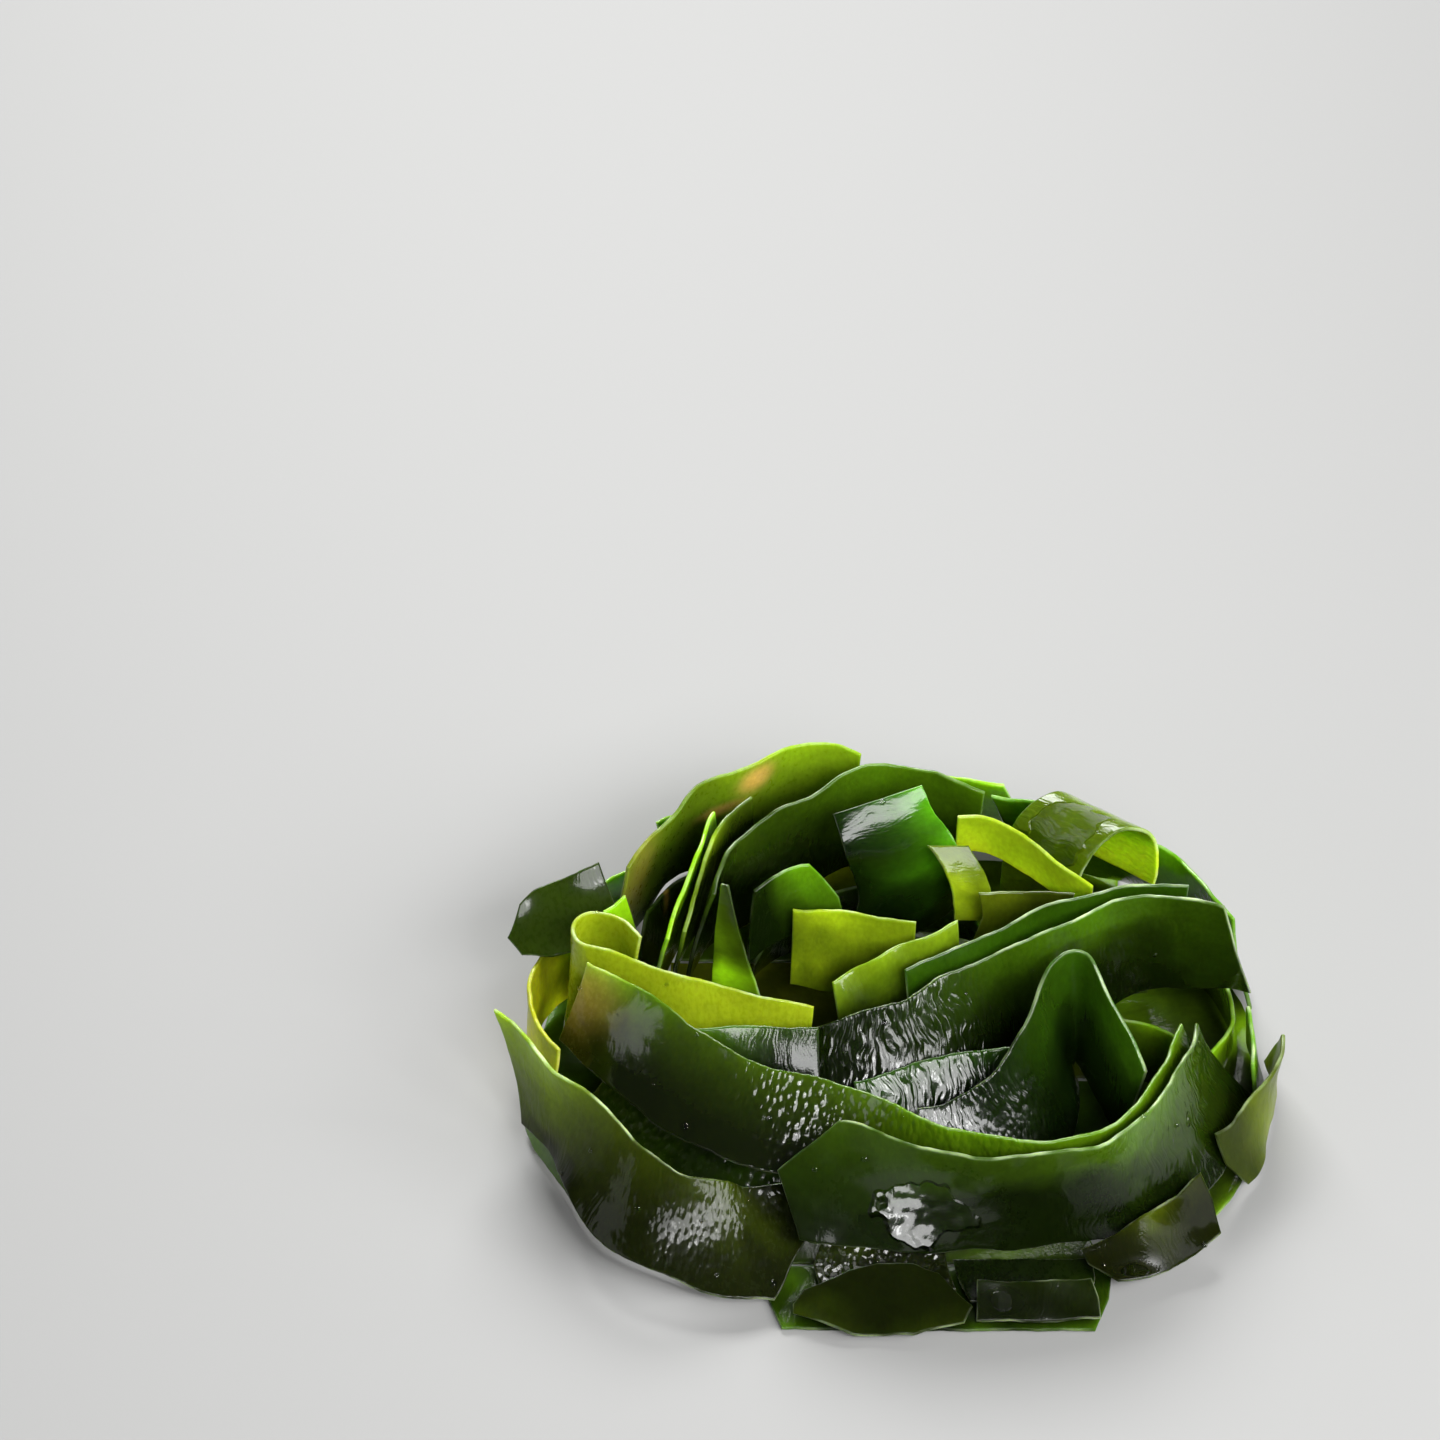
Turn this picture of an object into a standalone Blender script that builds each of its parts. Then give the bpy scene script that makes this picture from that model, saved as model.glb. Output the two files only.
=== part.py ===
"""A nest of kelp strips: long cut blades of seaweed, soaked and soft, wound round one another in a low heap.

Each strip is one closed sheet of even thickness. It follows a route for its middle line, stands on edge
or lies over by a stated lean at each point of that route, cups across its width and ruffles at its edges.
Lengths in the tables are millimetres. The nest stands on Z = 0, with the front of the heap towards -Y.
"""

import math
from dataclasses import dataclass

import bmesh
import bpy
import numpy as np

MM = 0.001
THICKNESS = 0.9
CELL_LENGTH = 5.0
CELLS_ACROSS = 5
ROUTE_SAMPLES = 400
EDGE_WOBBLE = (0.05, 19.0)  # share of the width for a ruffle 1 mm high, and the wavelength along the strip
UPRIGHT = (0.0, 0.0, 1.0)

# The middle of the heap's footprint, as the routes below are measured.
NEST_MIDDLE = (0.0, 0.4)

TONES = {
    "deep_green": ((0.035, 0.095, 0.012), 0.22),
    "leaf_green": ((0.085, 0.200, 0.018), 0.24),
    "yellow_green": ((0.300, 0.420, 0.030), 0.26),
    "olive": ((0.190, 0.210, 0.022), 0.28),
}


@dataclass
class Strip:
    """One cut strip of kelp.

    route: points (x, y, z, lean) of the middle line. A lean of 0 stands on edge and 90 lies flat, and a
        positive lean tips the high edge to the left of the way the route runs.
    curl: degrees that the sheet turns between its low edge and its high edge.
    start, end: how far each end is cut back at the low edge, the middle and the high edge.
    ruffle: height, wavelength and phase in degrees of the waves at the edges.
    side: the direction of the strip's width where its lean is 0.
    widths: shares of the width at the start, at one third, at two thirds and at the end.
    """

    name: str
    tone: str
    width: float
    route: tuple
    curl: float = 0.0
    start: tuple = (0.0, 0.0, 0.0)
    end: tuple = (0.0, 0.0, 0.0)
    ruffle: tuple = (0.6, 26.0, 0.0)
    side: tuple = UPRIGHT
    widths: tuple = (1.0, 1.0, 1.0, 1.0)
    cell: float = CELL_LENGTH


STRIPS = (
    Strip(
        "front_sweep", "leaf_green", 25,
        ((-23, -45, 20.5, 34), (-10.5, -47.5, 20, 28), (0, -49, 18.5, 20), (11.5, -49, 17, 8), (23, -48, 16, 3),
         (32.5, -47, 16, 5), (41.5, -44.5, 16, 12), (50, -39.5, 16.5, 20), (57.5, -32, 17.5, 27), (62, -22.5, 17.5, 30),
         (64.5, -12.5, 17.5, 30)),
        curl=-25, start=(6, 0, 11), end=(0, 1, 3), ruffle=(0.6, 34, 40),
    ),
    Strip(
        "left_skirt", "leaf_green", 26,
        ((-77.5, -10.5, 17, 0), (-72.9, -17, 17.2, 2), (-68.8, -23.4, 17.4, 6), (-63.9, -29.2, 17.5, 12), (-59.7, -35.8, 17.3, 24),
         (-54.2, -45.2, 16.2, 36), (-47.8, -50, 14.1, 46), (-38.2, -52.3, 10.7, 55), (-29.8, -52.8, 7.8, 65), (-21.3, -51.5, 6.6, 70),
         (-16.6, -51.3, 6.4, 72)),
        curl=-20, start=(10, 4, 0), end=(9, 1, 1), ruffle=(0.7, 30, 120), widths=(1.0, 0.8, 0.78, 0.98),
    ),
    Strip(
        "long_blister", "deep_green", 20,
        ((-63.5, -3.5, 24.5, 20), (-59, -7.5, 24.5, 28), (-53.5, -12, 23.6, 38), (-45.5, -19.5, 22.6, 50), (-35, -28.3, 22.2, 56),
         (-23.5, -33.3, 21.4, 56), (-13.5, -35.3, 20.5, 50), (-6.5, -37.6, 19.5, 42), (1.5, -41, 18.8, 34), (10.5, -43, 17.5, 22),
         (21.5, -43.8, 17, 9), (31, -43.4, 17, 6), (39.5, -41.3, 17, 12), (48, -36.2, 17.5, 20), (54.3, -29.2, 18.4, 27),
         (58.2, -21.3, 18.4, 30), (60.7, -13.5, 18.4, 30)),
        curl=-15, start=(0, 1, 2), end=(3, 0, 1), ruffle=(0.4, 38, 10),
    ),
    Strip(
        "yellow_fold", "yellow_green", 28,
        ((-51.5, 2, 21.5, -6), (-54, 6, 21.5, -6), (-57.2, 8.6, 21, -5), (-60.6, 8.8, 21, -3), (-63.4, 6.4, 21, 2),
         (-63.4, 2.2, 21, 8), (-60, -1.2, 21, 14), (-53, -4.8, 20, 18), (-41.5, -9, 18.5, 22), (-31.5, -9.5, 16, 26),
         (-22, -11, 14.5, 30), (-16.5, -12, 14, 33)),
        curl=-8, ruffle=(0.3, 30, 80), widths=(1.0, 1.0, 1.0, 0.86), cell=3.0,
    ),
    Strip(
        "tuck", "leaf_green", 14,
        ((-39, -18.5, 21.5, 42), (-31, -18, 22, 43), (-22.5, -18.5, 22, 44), (-14.5, -18.5, 22, 44)),
        curl=-6, ruffle=(0.2, 20, 0), start=(0, 0, 0), end=(0, 0, 0),
    ),
    Strip(
        "centre_sweep", "deep_green", 26,
        ((-27, -15.5, 15.5, 46), (-17, -18, 18, 54), (-7, -18.5, 20.5, 50), (4.5, -17, 21, 45), (14, -11.5, 21.5, 38),
         (21.5, -6, 22, 31), (29, -1, 23, 22), (36.5, 4, 24.5, 14), (43.5, 8, 25.5, 8), (51, 10, 26.5, 3),
         (60.5, 9, 27.5, -2), (73, 5.8, 28, -6)),
        curl=-12, start=(0, 3, 1), end=(0, 4, 7), ruffle=(0.6, 44, 200), widths=(0.6, 1.0, 1.0, 1.0),
    ),
    Strip(
        "centre_back", "deep_green", 24,
        ((3.5, -8, 19.5, 38), (7.5, -5.5, 20.5, 36), (13.5, -3, 21.5, 32), (20.5, 0.5, 22.5, 26), (26, 4.5, 23.5, 20),
         (30, 8, 24.5, 14), (35.5, 10.5, 25, 9), (43, 12.5, 26, 6), (50.5, 14, 26.5, 4), (59.5, 14.5, 27, 0)),
        curl=-10, start=(0, 1, 3), ruffle=(0.3, 30, 0),
    ),
    Strip(
        "silver_band", "deep_green", 18,
        ((-7.5, -30.5, 16, 56), (4, -26.5, 16.5, 52), (11, -24, 17, 50), (18.5, -22.5, 17, 46), (27, -21, 17, 40)),
        curl=-10, start=(0, 1, 2), ruffle=(0.2, 30, 0),
    ),
    Strip(
        "tent", "deep_green", 24,
        ((2, -37, 14.5, 50), (11, -36, 14.5, 50), (19, -33, 15.5, 46), (25.5, -28, 17.5, 40), (30, -21.5, 20, 32),
         (32, -14.5, 22.5, 22), (33.5, -8.5, 25, 12), (36.5, -6, 25.5, 6), (39.5, -9, 23.5, 6), (42.5, -13.5, 20, 8),
         (45.5, -18.5, 16.5, 11), (47.5, -23, 14, 14)),
        curl=-6, widths=(0.8, 0.95, 1.2, 0.8), start=(0, 1, 3), ruffle=(0.2, 20, 0), cell=3.0,
    ),
    Strip(
        "inner_band", "leaf_green", 15,
        ((45.5, -3.5, 10.5, 5), (50, -4.5, 10.5, 5), (54, -6.5, 10.5, 6), (57, -10, 10.5, 8)),
        ruffle=(0.2, 20, 0),
    ),
    Strip(
        "light_frill", "yellow_green", 20,
        ((-11, -6, 17.5, 35), (-6, -3.5, 19, 36), (0, -1.5, 21, 35), (6, 1, 23, 33), (11.5, 3.5, 24, 31), (16, 5, 24.5, 28)),
        curl=-10, start=(0, 1, 2), end=(0, 2, 1), ruffle=(0.9, 12, 60), cell=3.5,
    ),
    Strip(
        "olive_band", "olive", 20,
        ((-19.5, 14.5, 21, 6), (-14, 13.5, 21, 8), (-8, 12.5, 21, 10), (-2.5, 11.5, 21, 10), (5, 10, 21, 12)),
        curl=-6, ruffle=(0.3, 28, 90),
    ),
    Strip(
        "arch", "leaf_green", 17,
        ((-29, 12.5, 27, 8), (-23.5, 16, 29.5, 6), (-19, 18, 30.5, 5), (-15, 19, 30.5, 5), (-8, 19, 30, 5)),
        start=(0, 1, 3), end=(0, 2, 8), ruffle=(0.2, 24, 0), cell=3.5,
    ),
    Strip(
        "back_sweep", "leaf_green", 28,
        ((20, 40, 26, -2), (12, 43.5, 27, -2), (4, 45.5, 27.5, -2), (-4, 45, 28, 0), (-10.5, 42, 28, 0),
         (-17.5, 37, 27.5, 0), (-24.5, 32, 27, 2), (-30, 27.5, 26, 4), (-34, 24, 25.5, 6), (-36.5, 20, 24.5, 8),
         (-38.5, 15.5, 23, 10), (-39.5, 10.5, 21, 12)),
        curl=8, start=(4, 1, 0), end=(0, 2, 5), ruffle=(0.7, 32, 140),
    ),
    Strip(
        "back_outer", "olive", 26,
        ((-3, 51.5, 25, 0), (-10, 53, 27, 0), (-18, 52.5, 28.5, 2), (-25.5, 48.5, 29, 4), (-31, 45.5, 28.5, 5),
         (-36.5, 42.5, 28.3, 6), (-41, 39, 28.2, 7), (-45, 34.5, 27.5, 8), (-49, 29.5, 26, 8), (-52, 25, 24.3, 9),
         (-55, 20.8, 22.5, 10)),
        start=(0, 3, 2), end=(0, 0, 2), ruffle=(0.7, 26, 250),
    ),
    Strip(
        "fin", "leaf_green", 24,
        ((-33.5, 38, 26, 0), (-36, 34, 26.5, 2), (-38, 30, 26, 4), (-39.5, 26, 25.5, 6), (-41.5, 21.5, 24, 8),
         (-43.5, 17, 22, 10), (-45.5, 12.5, 20, 12), (-47, 8.5, 18, 13)),
        start=(0, 2, 3), end=(5, 1, 0), ruffle=(0.3, 28, 30),
    ),
    Strip(
        "fin_inner", "yellow_green", 22,
        ((-25.5, 41, 28, 0), (-29.5, 37, 28.5, 0), (-33, 33, 28.5, 2), (-35.5, 29, 28, 4), (-37.5, 24.5, 26.5, 6),
         (-39.5, 20, 24.5, 8), (-41, 16, 23.5, 9), (-42, 12.5, 22, 10), (-43, 9, 20.5, 11)),
        start=(0, 2, 3), end=(5, 1, 0), ruffle=(0.3, 24, 100),
    ),
    Strip(
        "left_leaf", "deep_green", 15,
        ((-77, 15, 22.5, 58), (-69, 17.5, 24.5, 60), (-61, 20.5, 25.5, 60), (-56, 23, 26.5, 56)),
        curl=-20, start=(2, 0, 4), ruffle=(0.5, 18, 0), widths=(0.5, 1.0, 1.0, 1.0),
    ),
    Strip(
        "left_drop", "yellow_green", 18,
        ((-61, 21.5, 11.6, 0), (-67.3, 15.8, 11.2, 0), (-71, 8.2, 11.3, 0), (-72.3, 0, 12.3, 2), (-71.3, -7.5, 12.6, 8), (-66.8, -15, 12, 14)),
        curl=-8, start=(0, 2, 3), ruffle=(0.4, 28, 200),
    ),
    Strip(
        "flap", "deep_green", 22,
        ((-2.5, 33.5, 43.5, 0), (0.2, 30, 39.5, 0), (3, 27.5, 33.5, 0), (4.5, 26.3, 26, 0), (4.8, 26.3, 18.5, 0), (6, 26.5, 12, 0)),
        side=(0.95, 0.24, 0.2), curl=12, end=(4, 0, 2), ruffle=(0.9, 22, 40), widths=(0.88, 0.95, 1.05, 0.8),
    ),
    Strip(
        "hook", "yellow_green", 9,
        ((12, 27, 37, 0), (15, 24.5, 33, 0), (17, 22.5, 28, 0), (17.5, 21.5, 21, 0)),
        side=(0.9, 0.3, -0.3), ruffle=(0.1, 24, 0), cell=3.5,
    ),
    Strip(
        "yellow_slip", "yellow_green", 11,
        ((14, 33, 34.5, -5), (19.5, 33, 34.5, -5), (25, 30.5, 33.5, -5), (31, 26, 32, -5), (36.5, 21.5, 30.5, -5), (41, 18, 29, -5)),
        ruffle=(0.2, 22, 0),
    ),
    Strip(
        "roll", "yellow_green", 21,
        ((31.5, 31, 14, 0), (31.5, 31.8, 23, 0), (33.5, 32.6, 32.5, 0), (37, 34.2, 36.7, 0), (41, 35.8, 38, 0),
         (45.3, 37.2, 35.7, 0), (48.2, 38, 29.5, 0), (48, 38, 20, 0)),
        side=(-0.667, 0.714, -0.21), ruffle=(0.2, 24, 0), cell=3.5,
    ),
    Strip(
        "spike", "leaf_green", 13,
        ((-30, 3, 8, 0), (-31, 6, 19, 0), (-32.5, 10, 30, 0), (-33, 13.5, 39.5, 0)),
        side=(0.95, -0.3, 0.0), widths=(1.0, 0.75, 0.42, 0.1), ruffle=(0.1, 24, 0),
    ),
    Strip(
        "right_edge", "yellow_green", 16,
        ((64.5, -34, 8.6, 24), (69.3, -28.5, 8.8, 18), (73.7, -20.5, 9.5, 8), (76.8, -11.5, 10, -2), (78, -4.5, 9.6, -5), (77.8, 1, 9.2, -6)),
        curl=-8, start=(5, 1, 0), end=(0, 3, 8), ruffle=(0.5, 20, 0),
    ),
    Strip(
        "blister_slip", "deep_green", 11,
        ((-16, -53.5, 2.6, 86), (-7, -53.3, 2.6, 86), (3, -53.4, 2.6, 86), (12, -54, 2.5, 86)),
        curl=-6, start=(1, 0, 2), end=(0, 2, 3), ruffle=(0.3, 16, 0),
    ),
    Strip(
        "bottom_leaf", "leaf_green", 14.5,
        ((-20, -63.6, 2.9, 78), (-14, -63.6, 3.2, 75), (-6, -63.3, 3.4, 74), (2, -63, 3.5, 74), (9, -63.4, 3.4, 76), (14.5, -64.5, 3.4, 78)),
        curl=-6, start=(0, 0, 2), end=(1, 0, 7), ruffle=(0.4, 16, 0), widths=(0.25, 0.95, 1.05, 0.45),
    ),
    Strip(
        "bottom_strip", "deep_green", 8,
        ((15.2, -63.4, 3.7, 62), (23, -63.6, 3.7, 62), (31, -63.4, 3.7, 62), (38.7, -62.8, 3.7, 62)),
        curl=-6, end=(0, 0, 1), ruffle=(0.25, 14, 0),
    ),
    Strip(
        "right_front_leaf", "leaf_green", 11.5,
        ((36, -55.4, 4.6, 70), (43, -54.4, 5.6, 61), (50, -51.7, 6.8, 54), (57, -47.2, 8, 50), (62.5, -41.8, 9, 48)),
        curl=-14, start=(6, 1, 0), end=(4, 1, 0), ruffle=(0.5, 18, 0), widths=(0.55, 0.95, 1.05, 1.0),
    ),
    Strip(
        "back_skirt_right", "deep_green", 25,
        ((72, 14, 13.6, 12), (68, 28, 13.6, 16), (57, 41, 13.6, 18), (42, 51, 13.6, 20), (24, 58, 13.6, 22)),
        curl=-12, start=(0, 2, 4), end=(5, 2, 0), ruffle=(0.8, 28, 30),
    ),
    Strip(
        "back_skirt_left", "leaf_green", 26,
        ((30, 62, 13, 24), (10, 64, 13, 24), (-8, 64, 13, 24), (-26, 60, 13, 22), (-40, 53, 13, 20), (-49, 46.5, 13.4, 18)),
        curl=-12, start=(0, 1, 4), end=(10, 4, 0), ruffle=(0.8, 30, 160),
    ),
    Strip(
        "floor_back", "olive", 31,
        ((-44.3, 13.5, 0.45, 90), (-14, 13.5, 0.45, 90), (14, 13.5, 0.45, 90), (47, 12.1, 0.45, 90)),
        end=(0, 2, 5), ruffle=(0, 30, 0),
    ),
    Strip(
        "floor_front", "deep_green", 26,
        ((-49, -20, 0.45, 90), (-20, -17, 0.45, 90), (14, -17, 0.45, 90), (48, -16.9, 0.45, 90)),
        end=(11, 4, 0), ruffle=(0, 30, 0),
    ),
    Strip(
        "inner_left", "leaf_green", 14,
        ((-46, 0, 10, 25), (-38, -4, 10, 32), (-28, -6, 9, 40), (-14, -6, 8, 46)),
        curl=-8, start=(0, 2, 1), end=(2, 0, 3), ruffle=(0.3, 22, 0),
    ),
    Strip(
        "inner_right", "leaf_green", 17,
        ((8, 3, 9.5, 42), (17, 9, 10.5, 34), (30, 16, 11, 20), (44, 20, 11, 10), (56, 20, 11, 5)),
        curl=-8, start=(0, 2, 1), end=(2, 0, 3), ruffle=(0.4, 22, 90),
    ),
    Strip(
        "inner_back", "deep_green", 16,
        ((21, 31, 10, 8), (10, 35, 10, 9), (-4, 36, 10, 10), (-18, 30, 10, 12), (-27, 20, 10, 15)),
        curl=-8, start=(0, 2, 1), end=(2, 0, 3), ruffle=(0.4, 22, 30),
    ),
    Strip(
        "outer_back", "yellow_green", 11,
        ((14, 49, 7.5, 8), (-6, 48.5, 7.5, 8), (-22, 42, 7.5, 8), (-35, 32, 7.5, 10)),
        curl=-8, start=(0, 2, 1), end=(2, 0, 3), ruffle=(0.4, 22, 30),
    ),
    Strip(
        "right_low", "leaf_green", 13,
        ((63, -12, 8.2, 12), (68, -4, 8.2, 8), (69.8, 5, 8.2, 6), (67, 17, 8.2, 8), (58.5, 28, 8.2, 12)),
        curl=-8, start=(0, 1, 2), end=(2, 0, 3), ruffle=(0.4, 22, 200),
    ),
    Strip(
        "left_low", "leaf_green", 15,
        ((-49, 46, 8.5, 18), (-61, 36, 8.5, 14), (-69, 24, 8.5, 8)),
        curl=-8, start=(0, 2, 3), end=(3, 1, 0), ruffle=(0.6, 18, 200),
    ),
    Strip(
        "floor_left", "deep_green", 19,
        ((-61, -22, 0.45, 90), (-62.3, -6, 0.45, 90), (-60.5, 10, 0.45, 90), (-53.8, 26, 0.45, 90)),
        ruffle=(0, 30, 0),
    ),
    Strip(
        "floor_right", "leaf_green", 25,
        ((45, -41, 0.45, 90), (57, -27, 0.45, 90), (62.6, -6.5, 0.45, 90), (61.7, 13, 0.45, 90), (55, 29, 0.45, 90)),
        ruffle=(0, 30, 0),
    ),
    Strip(
        "floor_near", "leaf_green", 19,
        ((-38, -42.5, 0.45, 90), (-14, -42, 0.45, 90), (10, -42, 0.45, 90), (41, -42.5, 0.45, 90)),
        end=(0, 4, 9), ruffle=(0, 30, 0),
    ),
    Strip(
        "floor_far", "leaf_green", 29,
        ((51, 41.6, 0.45, 90), (20, 44.8, 0.45, 90), (-4, 44.6, 0.45, 90), (-24, 44, 0.45, 90), (-42, 44.4, 0.45, 90)),
        start=(2, 2, 11), end=(5, 1, 0), ruffle=(0, 30, 0),
    ),
    Strip(
        "left_tuck", "leaf_green", 19,
        ((-58.6, 11.4, 22.5, 10), (-56.2, 12.6, 22.8, 12), (-53.5, 14, 23.2, 14), (-51, 16.2, 24, 14)),
        curl=-8, start=(0, 0, 2), end=(2, 0, 1), ruffle=(0.3, 18, 0),
    ),
    Strip(
        "lower_blister", "deep_green", 14,
        ((-57, -13, 13, 38), (-47.5, -24, 12, 48), (-38, -32, 11.5, 54), (-28, -36, 11, 58), (-17, -37, 10, 58)),
        curl=-8, start=(0, 1, 2), end=(2, 0, 1), ruffle=(0.3, 24, 0),
    ),
    Strip(
        "under_slip", "olive", 12,
        ((17, 17.5, 26, 16), (27, 17, 26.5, 18), (37, 15.5, 27.5, 20)),
        curl=-8, start=(0, 2, 1), end=(3, 1, 0), ruffle=(0.3, 18, 0),
    ),
    Strip(
        "left_under", "deep_green", 15,
        ((-71.5, -16, 8.5, 10), (-67, -25, 8.5, 14), (-61, -35, 8.5, 22), (-53, -43.5, 8.2, 32), (-43, -49, 7, 44), (-33, -50.5, 5.2, 56)),
        curl=-8, start=(0, 1, 3), end=(2, 0, 1), ruffle=(0.5, 24, 60),
    ),
    Strip(
        "front_under", "deep_green", 10,
        ((11, -57.6, 2.4, 85), (20, -57.6, 2.5, 85), (30, -57.4, 2.4, 86), (38.5, -56.8, 2.2, 87)),
        curl=-6, start=(3, 1, 0), end=(2, 0, 0), ruffle=(0.1, 16, 90),
    ),
    Strip(
        "right_outer", "deep_green", 15,
        ((72.6, -16, 9, 14), (73.4, -9, 9.3, 12), (73.4, -2, 9.5, 10), (72.2, 4.5, 9.5, 10)),
        curl=-8, start=(0, 0, 2), end=(0, 2, 3), ruffle=(0.3, 22, 40),
    ),
    Strip(
        "floor_lip", "deep_green", 15.6,
        ((-26, -59.8, 0.45, 90), (-10, -60.1, 0.45, 90), (10, -60.3, 0.45, 90), (28, -60.2, 0.45, 90), (42, -60.4, 0.45, 90)),
        start=(4, 1, 0), end=(4, 1, 0), ruffle=(0, 30, 0),
    ),
    Strip(
        "left_back_low", "deep_green", 19,
        ((-51, 22.5, 11.3, 0), (-44, 31.5, 11.3, 0), (-38, 37, 11.3, 0)),
        curl=-8, start=(0, 1, 3), end=(2, 0, 1), ruffle=(0.4, 20, 0),
    ),
)


def spline(knots, values, at):
    """Values of the natural cubic curve through (knots, values), one column each, at the given places."""
    steps = np.diff(knots)
    slopes = np.diff(values, axis=0) / steps[:, None]
    count = len(knots)
    matrix = np.eye(count)
    right = np.zeros_like(values)
    for i in range(1, count - 1):
        matrix[i, i - 1:i + 2] = steps[i - 1], 2 * (steps[i - 1] + steps[i]), steps[i]
        right[i] = 6 * (slopes[i] - slopes[i - 1])
    bends = np.linalg.solve(matrix, right)
    i = np.clip(np.searchsorted(knots, at, side="right") - 1, 0, count - 2)
    h = steps[i][:, None]
    before = (knots[i + 1] - at)[:, None]
    after = (at - knots[i])[:, None]
    return (
        bends[i] * before**3 / (6 * h)
        + bends[i + 1] * after**3 / (6 * h)
        + (values[i] / h - bends[i] * h / 6) * before
        + (values[i + 1] / h - bends[i + 1] * h / 6) * after
    )


def unit(vectors):
    return vectors / np.linalg.norm(vectors, axis=-1, keepdims=True)


def middle_line(strip):
    """Places along the strip's middle line, its points, its leans in radians and its two cross directions."""
    stations = np.array(strip.route, float)
    chords = np.linalg.norm(np.diff(stations[:, :3], axis=0), axis=1)
    knots = np.concatenate([[0.0], np.cumsum(chords)])
    fine = spline(knots, stations, np.linspace(0, knots[-1], ROUTE_SAMPLES))
    points, lean = fine[:, :3], np.radians(fine[:, 3])
    along = unit(np.gradient(points, axis=0))
    side = np.array(strip.side, float)
    up = np.broadcast_to(unit(side), along.shape)
    left = unit(np.cross(up, along))
    travel = np.concatenate([[0.0], np.cumsum(np.linalg.norm(np.diff(points, axis=0), axis=1))])
    return travel, points, lean, up, left


def across(strip, share, lean):
    """How far the sheet goes up and to the left of its middle line, at a share of the width from -0.5 to 0.5."""
    turn = math.radians(strip.curl)
    if abs(turn) < 1e-6:
        return share * np.cos(lean), share * np.sin(lean)
    end = lean + turn * share
    return (np.sin(end) - np.sin(lean)) / turn, (np.cos(lean) - np.cos(end)) / turn


def sheet_points(strip, cells_along, cells_across):
    """The strip's middle surface as a grid of points, one row for each place along it."""
    travel, points, lean, up, left = middle_line(strip)
    share = np.linspace(-0.5, 0.5, cells_across + 1)
    first = np.interp(share, (-0.5, 0, 0.5), strip.start)
    last = travel[-1] - np.interp(share, (-0.5, 0, 0.5), strip.end)
    height, wavelength, phase = strip.ruffle
    grid = np.empty((cells_along + 1, cells_across + 1, 3))
    for j, v in enumerate(share):
        s = np.linspace(first[j], last[j], cells_along + 1)
        at = [np.stack([np.interp(s, travel, a[:, k]) for k in range(3)], 1) for a in (points, up, left)]
        tilt = np.interp(s, travel, lean)
        rise, shift = across(strip, v, tilt)
        width = strip.width * np.interp(s / travel[-1], (0, 1 / 3, 2 / 3, 1), strip.widths)
        width = width * (1 + EDGE_WOBBLE[0] * height * np.sin(2 * math.pi * s / EDGE_WOBBLE[1] + math.radians(phase) + 5 * v))
        wave = np.sin(2 * math.pi * s / wavelength + math.radians(phase) + 2.0 * v)
        swing = height * (2 * v) ** 2 * wave
        turned = tilt + math.radians(strip.curl) * v
        grid[:, j] = (
            at[0]
            + (width * rise + swing * np.sin(turned))[:, None] * at[1]
            + (width * shift - swing * np.cos(turned))[:, None] * unit(at[2])
        )
    grid[:, :, :2] -= NEST_MIDDLE
    return grid


def sheet_mesh(strip):
    """The strip's middle surface as a mesh of triangles, in metres."""
    length = middle_line(strip)[0][-1]
    cells_along = max(3, round(length / strip.cell))
    grid = sheet_points(strip, cells_along, CELLS_ACROSS) * MM
    made = bmesh.new()
    rows = [[made.verts.new(point) for point in row] for row in grid]
    for below, above in zip(rows, rows[1:]):
        for j in range(CELLS_ACROSS):
            made.faces.new((below[j], above[j], above[j + 1]))
            made.faces.new((below[j], above[j + 1], below[j + 1]))
    mesh = bpy.data.meshes.new(strip.name)
    made.to_mesh(mesh)
    made.free()
    return mesh


def finish(name):
    """The plain wet finish of one tone of kelp."""
    colour, roughness = TONES[name]
    material = bpy.data.materials.new(name)
    material.use_nodes = True
    shader = material.node_tree.nodes["Principled BSDF"]
    shader.inputs["Base Color"].default_value = (*colour, 1.0)
    shader.inputs["Roughness"].default_value = roughness
    shader.inputs["Metallic"].default_value = 0.0
    return material


def add_strip(strip, materials):
    """Adds the strip as a closed sheet of even thickness."""
    obj = bpy.data.objects.new(strip.name, sheet_mesh(strip))
    bpy.context.scene.collection.objects.link(obj)
    obj.data.materials.append(materials[strip.tone])
    thick = obj.modifiers.new("thickness", "SOLIDIFY")
    thick.thickness = THICKNESS * MM
    thick.offset = 0.0
    obj.data.shade_smooth()
    return obj


def main():
    for obj in list(bpy.data.objects):
        bpy.data.objects.remove(obj)
    materials = {name: finish(name) for name in TONES}
    for strip in STRIPS:
        add_strip(strip, materials)


main()
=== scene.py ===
"""Soaked kelp strips in a low nest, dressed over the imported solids.

Every strip is made again from the same route as its solid, on a fine grid, with rounded cut edges, a rumpled
skin and the blisters and cross wrinkles of wet kelp. The strips and their skins are given in millimetres,
everything else in metres.
"""

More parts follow.
